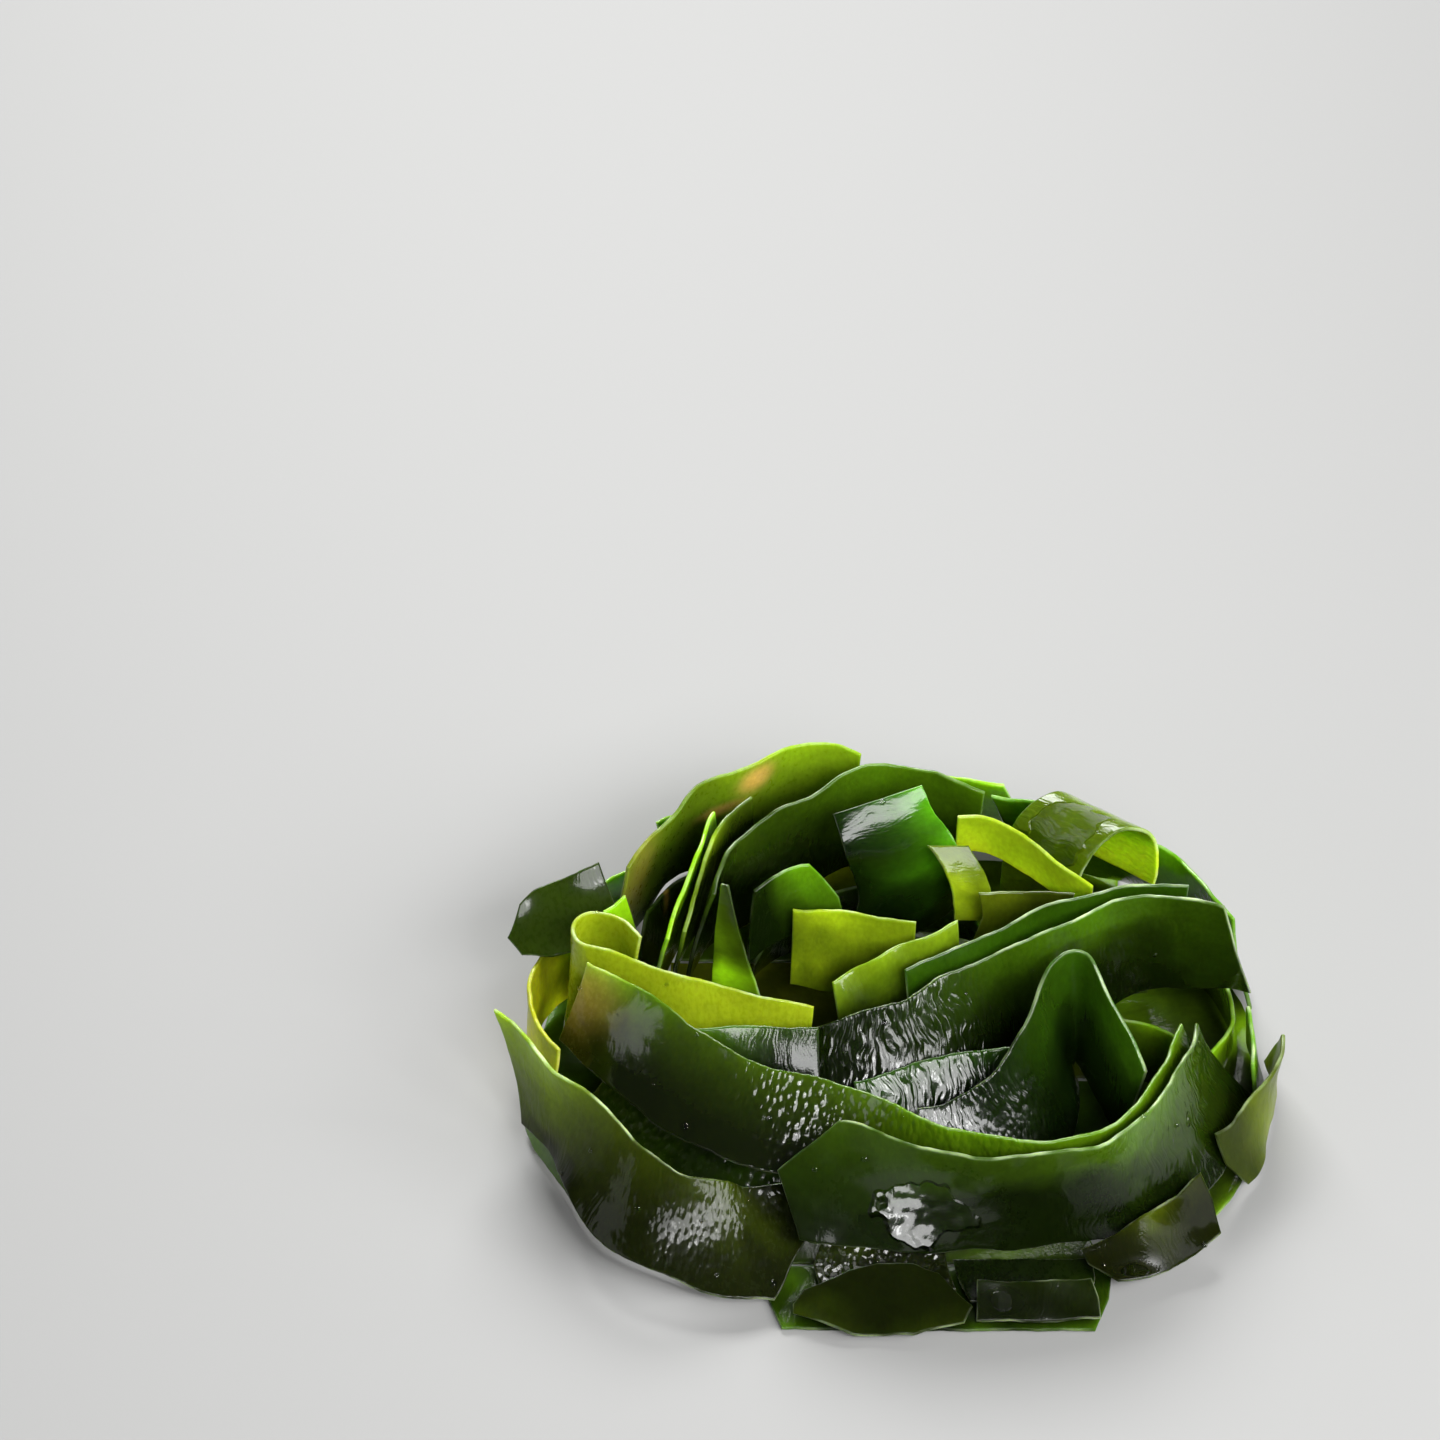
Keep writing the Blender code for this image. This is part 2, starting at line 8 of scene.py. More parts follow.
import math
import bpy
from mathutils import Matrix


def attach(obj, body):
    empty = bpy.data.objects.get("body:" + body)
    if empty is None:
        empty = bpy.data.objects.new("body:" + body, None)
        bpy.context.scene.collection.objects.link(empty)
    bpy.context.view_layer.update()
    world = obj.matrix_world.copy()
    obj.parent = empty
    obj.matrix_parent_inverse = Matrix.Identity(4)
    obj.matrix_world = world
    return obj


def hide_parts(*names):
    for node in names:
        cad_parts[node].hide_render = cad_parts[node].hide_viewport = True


bl_info = {
    "name": "Soaked Kelp Nest",
    "version": (1, 0, 0),
    "blender": (4, 5, 0),
    "location": "View3D > Sidebar > Kelp",
    "description": "Lays wet kelp strips over their packed solids, with beads of water and a stage",
    "category": "Add Mesh",
}

from dataclasses import dataclass

import bpy
import numpy as np
from mathutils import Vector
from mathutils.bvhtree import BVHTree

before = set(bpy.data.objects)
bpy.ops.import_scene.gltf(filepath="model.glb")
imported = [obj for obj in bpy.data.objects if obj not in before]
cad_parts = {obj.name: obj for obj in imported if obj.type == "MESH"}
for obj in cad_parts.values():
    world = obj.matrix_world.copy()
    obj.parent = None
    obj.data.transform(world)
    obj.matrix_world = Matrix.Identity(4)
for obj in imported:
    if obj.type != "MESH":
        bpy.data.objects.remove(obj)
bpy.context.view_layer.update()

MM = 0.001
ROUTE_SAMPLES = 400
THICKNESS = 0.9
UPRIGHT = (0.0, 0.0, 1.0)
FLAT = 90  # degrees of lean
NEST_MIDDLE = (0.0, 0.4)

# Cut edges, in mm: rows of the fine grid in from the edge, the slow change of the width as its share for a
# ruffle 1 mm high with its wavelength, the (wavelength, size) of the small steps and of the small waves, and
# how far in the pale rim, partly a painted highlight, reaches.
EDGE_ROWS = (0.0, 0.05, 0.14, 0.28, 0.5)
EDGE_WOBBLE = (0.05, 19.0)
EDGE_STEPS = ((13.1, 0.16), (7.3, 0.10), (3.4, 0.07), (1.9, 0.04))
EDGE_FRILLS = ((11.3, 0.10), (5.3, 0.04))
RIM_WIDTH = 0.16

FINEST_CELL = 0.5  # mm, under which a strip's grid is fine enough to carry its wrinkles and blisters

CAMERA_RISE = math.radians(43)
CAMERA_DISTANCE = 0.85
CAMERA_AIM = (-0.0340, 0.0379, 0.0611)
STAGE_MIDDLE = (0.0, 0.0, 0.02)
FLOOR_REACH = 2.5
FLOOR_LEVEL = -0.0003

# Each light: name, place, size, and the setting that holds its power.
LIGHTS = (
    ("window_light", (-0.12, 0.80, 0.72), (0.66, 0.42), "window_power"),
    ("front_light", (0.28, -0.60, 0.66), (0.70, 0.30), "front_power"),
    ("right_light", (0.74, -0.27, 0.53), (0.55, 0.36), "right_power"),
    ("left_light", (-0.79, -0.42, 0.33), (0.60, 0.36), "left_power"),
    ("front_lamp", (0.20, -0.50, 0.64), (0.10, 0.10), "lamp_power"),
)

FRONT_STRIPS = {
    "front_sweep", "left_skirt", "long_blister", "lower_blister", "blister_slip", "bottom_leaf",
    "bottom_strip", "right_front_leaf", "right_edge", "left_drop", "left_under", "front_under", "right_outer",
}
MIDDLE_STRIPS = {
    "yellow_fold", "tuck", "centre_sweep", "centre_back", "silver_band", "tent", "inner_band", "light_frill",
    "olive_band", "arch", "spike", "hook", "flap", "yellow_slip", "roll", "under_slip",
}
BACK_STRIPS = {
    "back_sweep", "back_outer", "fin", "fin_inner", "left_leaf", "left_tuck", "back_skirt_left",
    "back_skirt_right",
}
BEADED_STRIPS = {
    "front_sweep", "left_skirt", "long_blister", "yellow_fold", "centre_sweep", "flap", "roll",
    "blister_slip", "right_front_leaf", "back_sweep",
}

# Linear colours of a strip where other strips shut the light out, and where light comes through it.
TONES = {
    "deep_green": ((0.0030, 0.0062, 0.0006), (0.075, 0.190, 0.003)),
    "leaf_green": ((0.0042, 0.0078, 0.0007), (0.160, 0.330, 0.004)),
    "yellow_green": ((0.0200, 0.0300, 0.0012), (0.500, 0.600, 0.010)),
    "olive": ((0.0120, 0.0160, 0.0010), (0.280, 0.320, 0.006)),
}
STAIN = (0.60, 0.36, 0.08)  # old tan kelp
# Colour of the pale cut edge, partly a painted highlight where light comes through.
CUT_EDGE_AND_HIGHLIGHT = (0.50, 0.61, 0.34)
WATER_IOR = 1.33


@dataclass
class Strip:
    """One cut strip of kelp.

    route: points (x, y, z, lean) of the middle line. A lean of 0 stands on edge and 90 lies flat, and a
        positive lean tips the high edge to the left of the way the route runs.
    curl: degrees that the sheet turns between its low edge and its high edge.
    start, end: how far each end is cut back at the low edge, the middle and the high edge.
    ruffle: height, wavelength and phase in degrees of the waves at the edges.
    side: the direction of the strip's width where its lean is 0.
    widths: shares of the width at the start, at one third, at two thirds and at the end.
    """

    name: str
    tone: str
    width: float
    route: tuple
    curl: float = 0.0
    start: tuple = (0.0, 0.0, 0.0)
    end: tuple = (0.0, 0.0, 0.0)
    ruffle: tuple = (0.6, 26.0, 0.0)
    side: tuple = UPRIGHT
    widths: tuple = (1.0, 1.0, 1.0, 1.0)


def flat_strip(name, tone, width, points, **cuts):
    """A strip that lies flat on the floor along these points (x, y), without ruffles."""
    route = tuple((x, y, THICKNESS / 2, FLAT) for x, y in points)
    return Strip(name, tone, width, route, ruffle=(0, 30, 0), **cuts)


STRIPS = (
    Strip(
        "front_sweep", "leaf_green", 25,
        ((-23, -45, 20.5, 34), (-10.5, -47.5, 20, 28), (0, -49, 18.5, 20), (11.5, -49, 17, 8),
         (23, -48, 16, 3), (32.5, -47, 16, 5), (41.5, -44.5, 16, 12), (50, -39.5, 16.5, 20),
         (57.5, -32, 17.5, 27), (62, -22.5, 17.5, 30), (64.5, -12.5, 17.5, 30)),
        curl=-25, start=(6, 0, 11), end=(0, 1, 3), ruffle=(0.6, 34, 40),
    ),
    Strip(
        "left_skirt", "leaf_green", 26,
        ((-77.5, -10.5, 17, 0), (-72.9, -17, 17.2, 2), (-68.8, -23.4, 17.4, 6), (-63.9, -29.2, 17.5, 12),
         (-59.7, -35.8, 17.3, 24), (-54.2, -45.2, 16.2, 36), (-47.8, -50, 14.1, 46),
         (-38.2, -52.3, 10.7, 55), (-29.8, -52.8, 7.8, 65), (-21.3, -51.5, 6.6, 70),
         (-16.6, -51.3, 6.4, 72)),
        curl=-20, widths=(1, 0.8, 0.78, 0.98), start=(10, 4, 0), end=(9, 1, 1), ruffle=(0.7, 30, 120),
    ),
    Strip(
        "long_blister", "deep_green", 20,
        ((-63.5, -3.5, 24.5, 20), (-59, -7.5, 24.5, 28), (-53.5, -12, 23.6, 38), (-45.5, -19.5, 22.6, 50),
         (-35, -28.3, 22.2, 56), (-23.5, -33.3, 21.4, 56), (-13.5, -35.3, 20.5, 50),
         (-6.5, -37.6, 19.5, 42), (1.5, -41, 18.8, 34), (10.5, -43, 17.5, 22), (21.5, -43.8, 17, 9),
         (31, -43.4, 17, 6), (39.5, -41.3, 17, 12), (48, -36.2, 17.5, 20), (54.3, -29.2, 18.4, 27),
         (58.2, -21.3, 18.4, 30), (60.7, -13.5, 18.4, 30)),
        curl=-15, start=(0, 1, 2), end=(3, 0, 1), ruffle=(0.4, 38, 10),
    ),
    Strip(
        "yellow_fold", "yellow_green", 28,
        ((-51.5, 2, 21.5, -6), (-54, 6, 21.5, -6), (-57.2, 8.6, 21, -5), (-60.6, 8.8, 21, -3),
         (-63.4, 6.4, 21, 2), (-63.4, 2.2, 21, 8), (-60, -1.2, 21, 14), (-53, -4.8, 20, 18),
         (-41.5, -9, 18.5, 22), (-31.5, -9.5, 16, 26), (-22, -11, 14.5, 30), (-16.5, -12, 14, 33)),
        curl=-8, widths=(1, 1, 1, 0.86), ruffle=(0.3, 30, 80),
    ),
    Strip(
        "tuck", "leaf_green", 14,
        ((-39, -18.5, 21.5, 42), (-31, -18, 22, 43), (-22.5, -18.5, 22, 44), (-14.5, -18.5, 22, 44)),
        curl=-6, ruffle=(0.2, 20, 0),
    ),
    Strip(
        "centre_sweep", "deep_green", 26,
        ((-27, -15.5, 15.5, 46), (-17, -18, 18, 54), (-7, -18.5, 20.5, 50), (4.5, -17, 21, 45),
         (14, -11.5, 21.5, 38), (21.5, -6, 22, 31), (29, -1, 23, 22), (36.5, 4, 24.5, 14),
         (43.5, 8, 25.5, 8), (51, 10, 26.5, 3), (60.5, 9, 27.5, -2), (73, 5.8, 28, -6)),
        curl=-12, widths=(0.6, 1, 1, 1), start=(0, 3, 1), end=(0, 4, 7), ruffle=(0.6, 44, 200),
    ),
    Strip(
        "centre_back", "deep_green", 24,
        ((3.5, -8, 19.5, 38), (7.5, -5.5, 20.5, 36), (13.5, -3, 21.5, 32), (20.5, 0.5, 22.5, 26),
         (26, 4.5, 23.5, 20), (30, 8, 24.5, 14), (35.5, 10.5, 25, 9), (43, 12.5, 26, 6),
         (50.5, 14, 26.5, 4), (59.5, 14.5, 27, 0)),
        curl=-10, start=(0, 1, 3), ruffle=(0.3, 30, 0),
    ),
    Strip(
        "silver_band", "deep_green", 18,
        ((-7.5, -30.5, 16, 56), (4, -26.5, 16.5, 52), (11, -24, 17, 50), (18.5, -22.5, 17, 46),
         (27, -21, 17, 40)),
        curl=-10, start=(0, 1, 2), ruffle=(0.2, 30, 0),
    ),
    Strip(
        "tent", "deep_green", 24,
        ((2, -37, 14.5, 50), (11, -36, 14.5, 50), (19, -33, 15.5, 46), (25.5, -28, 17.5, 40),
         (30, -21.5, 20, 32), (32, -14.5, 22.5, 22), (33.5, -8.5, 25, 12), (36.5, -6, 25.5, 6),
         (39.5, -9, 23.5, 6), (42.5, -13.5, 20, 8), (45.5, -18.5, 16.5, 11), (47.5, -23, 14, 14)),
        curl=-6, widths=(0.8, 0.95, 1.2, 0.8), start=(0, 1, 3), ruffle=(0.2, 20, 0),
    ),
    Strip(
        "inner_band", "leaf_green", 15,
        ((45.5, -3.5, 10.5, 5), (50, -4.5, 10.5, 5), (54, -6.5, 10.5, 6), (57, -10, 10.5, 8)),
        ruffle=(0.2, 20, 0),
    ),
    Strip(
        "light_frill", "yellow_green", 20,
        ((-11, -6, 17.5, 35), (-6, -3.5, 19, 36), (0, -1.5, 21, 35), (6, 1, 23, 33), (11.5, 3.5, 24, 31),
         (16, 5, 24.5, 28)),
        curl=-10, start=(0, 1, 2), end=(0, 2, 1), ruffle=(0.9, 12, 60),
    ),
    Strip(
        "olive_band", "olive", 20,
        ((-19.5, 14.5, 21, 6), (-14, 13.5, 21, 8), (-8, 12.5, 21, 10), (-2.5, 11.5, 21, 10),
         (5, 10, 21, 12)),
        curl=-6, ruffle=(0.3, 28, 90),
    ),
    Strip(
        "arch", "leaf_green", 17,
        ((-29, 12.5, 27, 8), (-23.5, 16, 29.5, 6), (-19, 18, 30.5, 5), (-15, 19, 30.5, 5), (-8, 19, 30, 5)),
        start=(0, 1, 3), end=(0, 2, 8), ruffle=(0.2, 24, 0),
    ),
    Strip(
        "back_sweep", "leaf_green", 28,
        ((20, 40, 26, -2), (12, 43.5, 27, -2), (4, 45.5, 27.5, -2), (-4, 45, 28, 0), (-10.5, 42, 28, 0),
         (-17.5, 37, 27.5, 0), (-24.5, 32, 27, 2), (-30, 27.5, 26, 4), (-34, 24, 25.5, 6),
         (-36.5, 20, 24.5, 8), (-38.5, 15.5, 23, 10), (-39.5, 10.5, 21, 12)),
        curl=8, start=(4, 1, 0), end=(0, 2, 5), ruffle=(0.7, 32, 140),
    ),
    Strip(
        "back_outer", "olive", 26,
        ((-3, 51.5, 25, 0), (-10, 53, 27, 0), (-18, 52.5, 28.5, 2), (-25.5, 48.5, 29, 4),
         (-31, 45.5, 28.5, 5), (-36.5, 42.5, 28.3, 6), (-41, 39, 28.2, 7), (-45, 34.5, 27.5, 8),
         (-49, 29.5, 26, 8), (-52, 25, 24.3, 9), (-55, 20.8, 22.5, 10)),
        start=(0, 3, 2), end=(0, 0, 2), ruffle=(0.7, 26, 250),
    ),
    Strip(
        "fin", "leaf_green", 24,
        ((-33.5, 38, 26, 0), (-36, 34, 26.5, 2), (-38, 30, 26, 4), (-39.5, 26, 25.5, 6),
         (-41.5, 21.5, 24, 8), (-43.5, 17, 22, 10), (-45.5, 12.5, 20, 12), (-47, 8.5, 18, 13)),
        start=(0, 2, 3), end=(5, 1, 0), ruffle=(0.3, 28, 30),
    ),
    Strip(
        "fin_inner", "yellow_green", 22,
        ((-25.5, 41, 28, 0), (-29.5, 37, 28.5, 0), (-33, 33, 28.5, 2), (-35.5, 29, 28, 4),
         (-37.5, 24.5, 26.5, 6), (-39.5, 20, 24.5, 8), (-41, 16, 23.5, 9), (-42, 12.5, 22, 10),
         (-43, 9, 20.5, 11)),
        start=(0, 2, 3), end=(5, 1, 0), ruffle=(0.3, 24, 100),
    ),
    Strip(
        "left_leaf", "deep_green", 15,
        ((-77, 15, 22.5, 58), (-69, 17.5, 24.5, 60), (-61, 20.5, 25.5, 60), (-56, 23, 26.5, 56)),
        curl=-20, widths=(0.5, 1, 1, 1), start=(2, 0, 4), ruffle=(0.5, 18, 0),
    ),
    Strip(
        "left_drop", "yellow_green", 18,
        ((-61, 21.5, 11.6, 0), (-67.3, 15.8, 11.2, 0), (-71, 8.2, 11.3, 0), (-72.3, 0, 12.3, 2),
         (-71.3, -7.5, 12.6, 8), (-66.8, -15, 12, 14)),
        curl=-8, start=(0, 2, 3), ruffle=(0.4, 28, 200),
    ),
    Strip(
        "flap", "deep_green", 22,
        ((-2.5, 33.5, 43.5, 0), (0.2, 30, 39.5, 0), (3, 27.5, 33.5, 0), (4.5, 26.3, 26, 0),
         (4.8, 26.3, 18.5, 0), (6, 26.5, 12, 0)),
        curl=12, side=(0.95, 0.24, 0.2), widths=(0.88, 0.95, 1.05, 0.8), end=(4, 0, 2),
        ruffle=(0.9, 22, 40),
    ),
    Strip(
        "hook", "yellow_green", 9,
        ((12, 27, 37, 0), (15, 24.5, 33, 0), (17, 22.5, 28, 0), (17.5, 21.5, 21, 0)),
        side=(0.9, 0.3, -0.3), ruffle=(0.1, 24, 0),
    ),
    Strip(
        "yellow_slip", "yellow_green", 11,
        ((14, 33, 34.5, -5), (19.5, 33, 34.5, -5), (25, 30.5, 33.5, -5), (31, 26, 32, -5),
         (36.5, 21.5, 30.5, -5), (41, 18, 29, -5)),
        ruffle=(0.2, 22, 0),
    ),
    Strip(
        "roll", "yellow_green", 21,
        ((31.5, 31, 14, 0), (31.5, 31.8, 23, 0), (33.5, 32.6, 32.5, 0), (37, 34.2, 36.7, 0),
         (41, 35.8, 38, 0), (45.3, 37.2, 35.7, 0), (48.2, 38, 29.5, 0), (48, 38, 20, 0)),
        side=(-0.667, 0.714, -0.21), ruffle=(0.2, 24, 0),
    ),
    Strip(
        "spike", "leaf_green", 13,
        ((-30, 3, 8, 0), (-31, 6, 19, 0), (-32.5, 10, 30, 0), (-33, 13.5, 39.5, 0)),
        side=(0.95, -0.3, 0), widths=(1, 0.75, 0.42, 0.1), ruffle=(0.1, 24, 0),
    ),
    Strip(
        "right_edge", "yellow_green", 16,
        ((64.5, -34, 8.6, 24), (69.3, -28.5, 8.8, 18), (73.7, -20.5, 9.5, 8), (76.8, -11.5, 10, -2),
         (78, -4.5, 9.6, -5), (77.8, 1, 9.2, -6)),
        curl=-8, start=(5, 1, 0), end=(0, 3, 8), ruffle=(0.5, 20, 0),
    ),
    Strip(
        "blister_slip", "deep_green", 11,
        ((-16, -53.5, 2.6, 86), (-7, -53.3, 2.6, 86), (3, -53.4, 2.6, 86), (12, -54, 2.5, 86)),
        curl=-6, start=(1, 0, 2), end=(0, 2, 3), ruffle=(0.3, 16, 0),
    ),
    Strip(
        "bottom_leaf", "leaf_green", 14.5,
        ((-20, -63.6, 2.9, 78), (-14, -63.6, 3.2, 75), (-6, -63.3, 3.4, 74), (2, -63, 3.5, 74),
         (9, -63.4, 3.4, 76), (14.5, -64.5, 3.4, 78)),
        curl=-6, widths=(0.25, 0.95, 1.05, 0.45), start=(0, 0, 2), end=(1, 0, 7), ruffle=(0.4, 16, 0),
    ),
    Strip(
        "bottom_strip", "deep_green", 8,
        ((15.2, -63.4, 3.7, 62), (23, -63.6, 3.7, 62), (31, -63.4, 3.7, 62), (38.7, -62.8, 3.7, 62)),
        curl=-6, end=(0, 0, 1), ruffle=(0.25, 14, 0),
    ),
    Strip(
        "right_front_leaf", "leaf_green", 11.5,
        ((36, -55.4, 4.6, 70), (43, -54.4, 5.6, 61), (50, -51.7, 6.8, 54), (57, -47.2, 8, 50),
         (62.5, -41.8, 9, 48)),
        curl=-14, widths=(0.55, 0.95, 1.05, 1), start=(6, 1, 0), end=(4, 1, 0), ruffle=(0.5, 18, 0),
    ),
    Strip(
        "back_skirt_right", "deep_green", 25,
        ((72, 14, 13.6, 12), (68, 28, 13.6, 16), (57, 41, 13.6, 18), (42, 51, 13.6, 20), (24, 58, 13.6, 22)),
        curl=-12, start=(0, 2, 4), end=(5, 2, 0), ruffle=(0.8, 28, 30),
    ),
    Strip(
        "back_skirt_left", "leaf_green", 26,
        ((30, 62, 13, 24), (10, 64, 13, 24), (-8, 64, 13, 24), (-26, 60, 13, 22), (-40, 53, 13, 20),
         (-49, 46.5, 13.4, 18)),
        curl=-12, start=(0, 1, 4), end=(10, 4, 0), ruffle=(0.8, 30, 160),
    ),
    flat_strip(
        "floor_back", "olive", 31,
        ((-44.3, 13.5), (-14, 13.5), (14, 13.5), (47, 12.1)),
        end=(0, 2, 5),
    ),
    flat_strip(
        "floor_front", "deep_green", 26,
        ((-49, -20), (-20, -17), (14, -17), (48, -16.9)),
        end=(11, 4, 0),
    ),
    Strip(
        "inner_left", "leaf_green", 14,
        ((-46, 0, 10, 25), (-38, -4, 10, 32), (-28, -6, 9, 40), (-14, -6, 8, 46)),
        curl=-8, start=(0, 2, 1), end=(2, 0, 3), ruffle=(0.3, 22, 0),
    ),
    Strip(
        "inner_right", "leaf_green", 17,
        ((8, 3, 9.5, 42), (17, 9, 10.5, 34), (30, 16, 11, 20), (44, 20, 11, 10), (56, 20, 11, 5)),
        curl=-8, start=(0, 2, 1), end=(2, 0, 3), ruffle=(0.4, 22, 90),
    ),
    Strip(
        "inner_back", "deep_green", 16,
        ((21, 31, 10, 8), (10, 35, 10, 9), (-4, 36, 10, 10), (-18, 30, 10, 12), (-27, 20, 10, 15)),
        curl=-8, start=(0, 2, 1), end=(2, 0, 3), ruffle=(0.4, 22, 30),
    ),
    Strip(
        "outer_back", "yellow_green", 11,
        ((14, 49, 7.5, 8), (-6, 48.5, 7.5, 8), (-22, 42, 7.5, 8), (-35, 32, 7.5, 10)),
        curl=-8, start=(0, 2, 1), end=(2, 0, 3), ruffle=(0.4, 22, 30),
    ),
    Strip(
        "right_low", "leaf_green", 13,
        ((63, -12, 8.2, 12), (68, -4, 8.2, 8), (69.8, 5, 8.2, 6), (67, 17, 8.2, 8), (58.5, 28, 8.2, 12)),
        curl=-8, start=(0, 1, 2), end=(2, 0, 3), ruffle=(0.4, 22, 200),
    ),
    Strip(
        "left_low", "leaf_green", 15,
        ((-49, 46, 8.5, 18), (-61, 36, 8.5, 14), (-69, 24, 8.5, 8)),
        curl=-8, start=(0, 2, 3), end=(3, 1, 0), ruffle=(0.6, 18, 200),
    ),
    flat_strip("floor_left", "deep_green", 19, ((-61, -22), (-62.3, -6), (-60.5, 10), (-53.8, 26))),
    flat_strip("floor_right", "leaf_green", 25, ((45, -41), (57, -27), (62.6, -6.5), (61.7, 13), (55, 29))),
    flat_strip(
        "floor_near", "leaf_green", 19,
        ((-38, -42.5), (-14, -42), (10, -42), (41, -42.5)),
        end=(0, 4, 9),
    ),
    flat_strip(
        "floor_far", "leaf_green", 29,
        ((51, 41.6), (20, 44.8), (-4, 44.6), (-24, 44), (-42, 44.4)),
        start=(2, 2, 11), end=(5, 1, 0),
    ),
    Strip(
        "left_tuck", "leaf_green", 19,
        ((-58.6, 11.4, 22.5, 10), (-56.2, 12.6, 22.8, 12), (-53.5, 14, 23.2, 14), (-51, 16.2, 24, 14)),
        curl=-8, start=(0, 0, 2), end=(2, 0, 1), ruffle=(0.3, 18, 0),
    ),
    Strip(
        "lower_blister", "deep_green", 14,
        ((-57, -13, 13, 38), (-47.5, -24, 12, 48), (-38, -32, 11.5, 54), (-28, -36, 11, 58),
         (-17, -37, 10, 58)),
        curl=-8, start=(0, 1, 2), end=(2, 0, 1), ruffle=(0.3, 24, 0),
    ),
    Strip(
        "under_slip", "olive", 12,
        ((17, 17.5, 26, 16), (27, 17, 26.5, 18), (37, 15.5, 27.5, 20)),
        curl=-8, start=(0, 2, 1), end=(3, 1, 0), ruffle=(0.3, 18, 0),
    ),
    # left_under is a deep green strip laid low under the skirt to fill the dark shade there.
    Strip(
        "left_under", "deep_green", 15,
        ((-71.5, -16, 8.5, 10), (-67, -25, 8.5, 14), (-61, -35, 8.5, 22), (-53, -43.5, 8.2, 32),
         (-43, -49, 7, 44), (-33, -50.5, 5.2, 56)),
        curl=-8, start=(0, 1, 3), end=(2, 0, 1), ruffle=(0.5, 24, 60),
    ),
    Strip(
        "front_under", "deep_green", 10,
        ((11, -57.6, 2.4, 85), (20, -57.6, 2.5, 85), (30, -57.4, 2.4, 86), (38.5, -56.8, 2.2, 87)),
        curl=-6, start=(3, 1, 0), end=(2, 0, 0), ruffle=(0.1, 16, 90),
    ),
    Strip(
        "right_outer", "deep_green", 15,
        ((72.6, -16, 9, 14), (73.4, -9, 9.3, 12), (73.4, -2, 9.5, 10), (72.2, 4.5, 9.5, 10)),
        curl=-8, start=(0, 0, 2), end=(0, 2, 3), ruffle=(0.3, 22, 40),
    ),
    flat_strip(
        "floor_lip", "deep_green", 15.6,
        ((-26, -59.8), (-10, -60.1), (10, -60.3), (28, -60.2), (42, -60.4)),
        start=(4, 1, 0), end=(4, 1, 0),
    ),
    Strip(
        "left_back_low", "deep_green", 19,
        ((-51, 22.5, 11.3, 0), (-44, 31.5, 11.3, 0), (-38, 37, 11.3, 0)),
        curl=-8, start=(0, 1, 3), end=(2, 0, 1), ruffle=(0.4, 20, 0),
    ),
)


@dataclass
class Skin:
    """How one strip's skin differs from plain wet kelp.

    wrinkle, blister: (share of the length, height in mm) points of the cross wrinkles and of the blisters.
    film: (share of the length, amount) points of the film of water.
    stains, splashes: soft round marks of old tan kelp and of water that lies on the skin, each (share of the
        length, share of the width, half the mark's length and half its width in such shares, strength).
    rim: how pale its cut edges are, the pale rim being partly a painted highlight.
    light: (share of the length, value) points of how much more open to the light it looks than its place
        makes it.
    rise: how much lighter, in painted light, its high edge is than its low edge.
    warm: how much redder than its tone the strip is.
    cell: the size of the fine grid, in mm.
    """

    wrinkle: tuple = ((0, 0.02), (1, 0.02))
    blister: tuple = ((0, 0.0), (1, 0.0))
    film: tuple = ((0, 1.0), (1, 1.0))
    stains: tuple = ()
    splashes: tuple = ()
    rim: float = 0.3
    light: tuple = ((0, 0.0), (1, 0.0))
    rise: float = 0.25
    warm: float = 1.0
    cell: float = 0.8


# How much more or less open to the light a stretch of a strip looks than its place makes it.
BLACKISH = -1.0
DEEP = -0.75
SHADED = -0.5
CLEAR = -0.25
EVEN = 0.0
GLOWING = 0.4


def all_along(value):
    """The same value from a strip's start to its end."""
    return ((0, value), (1, value))


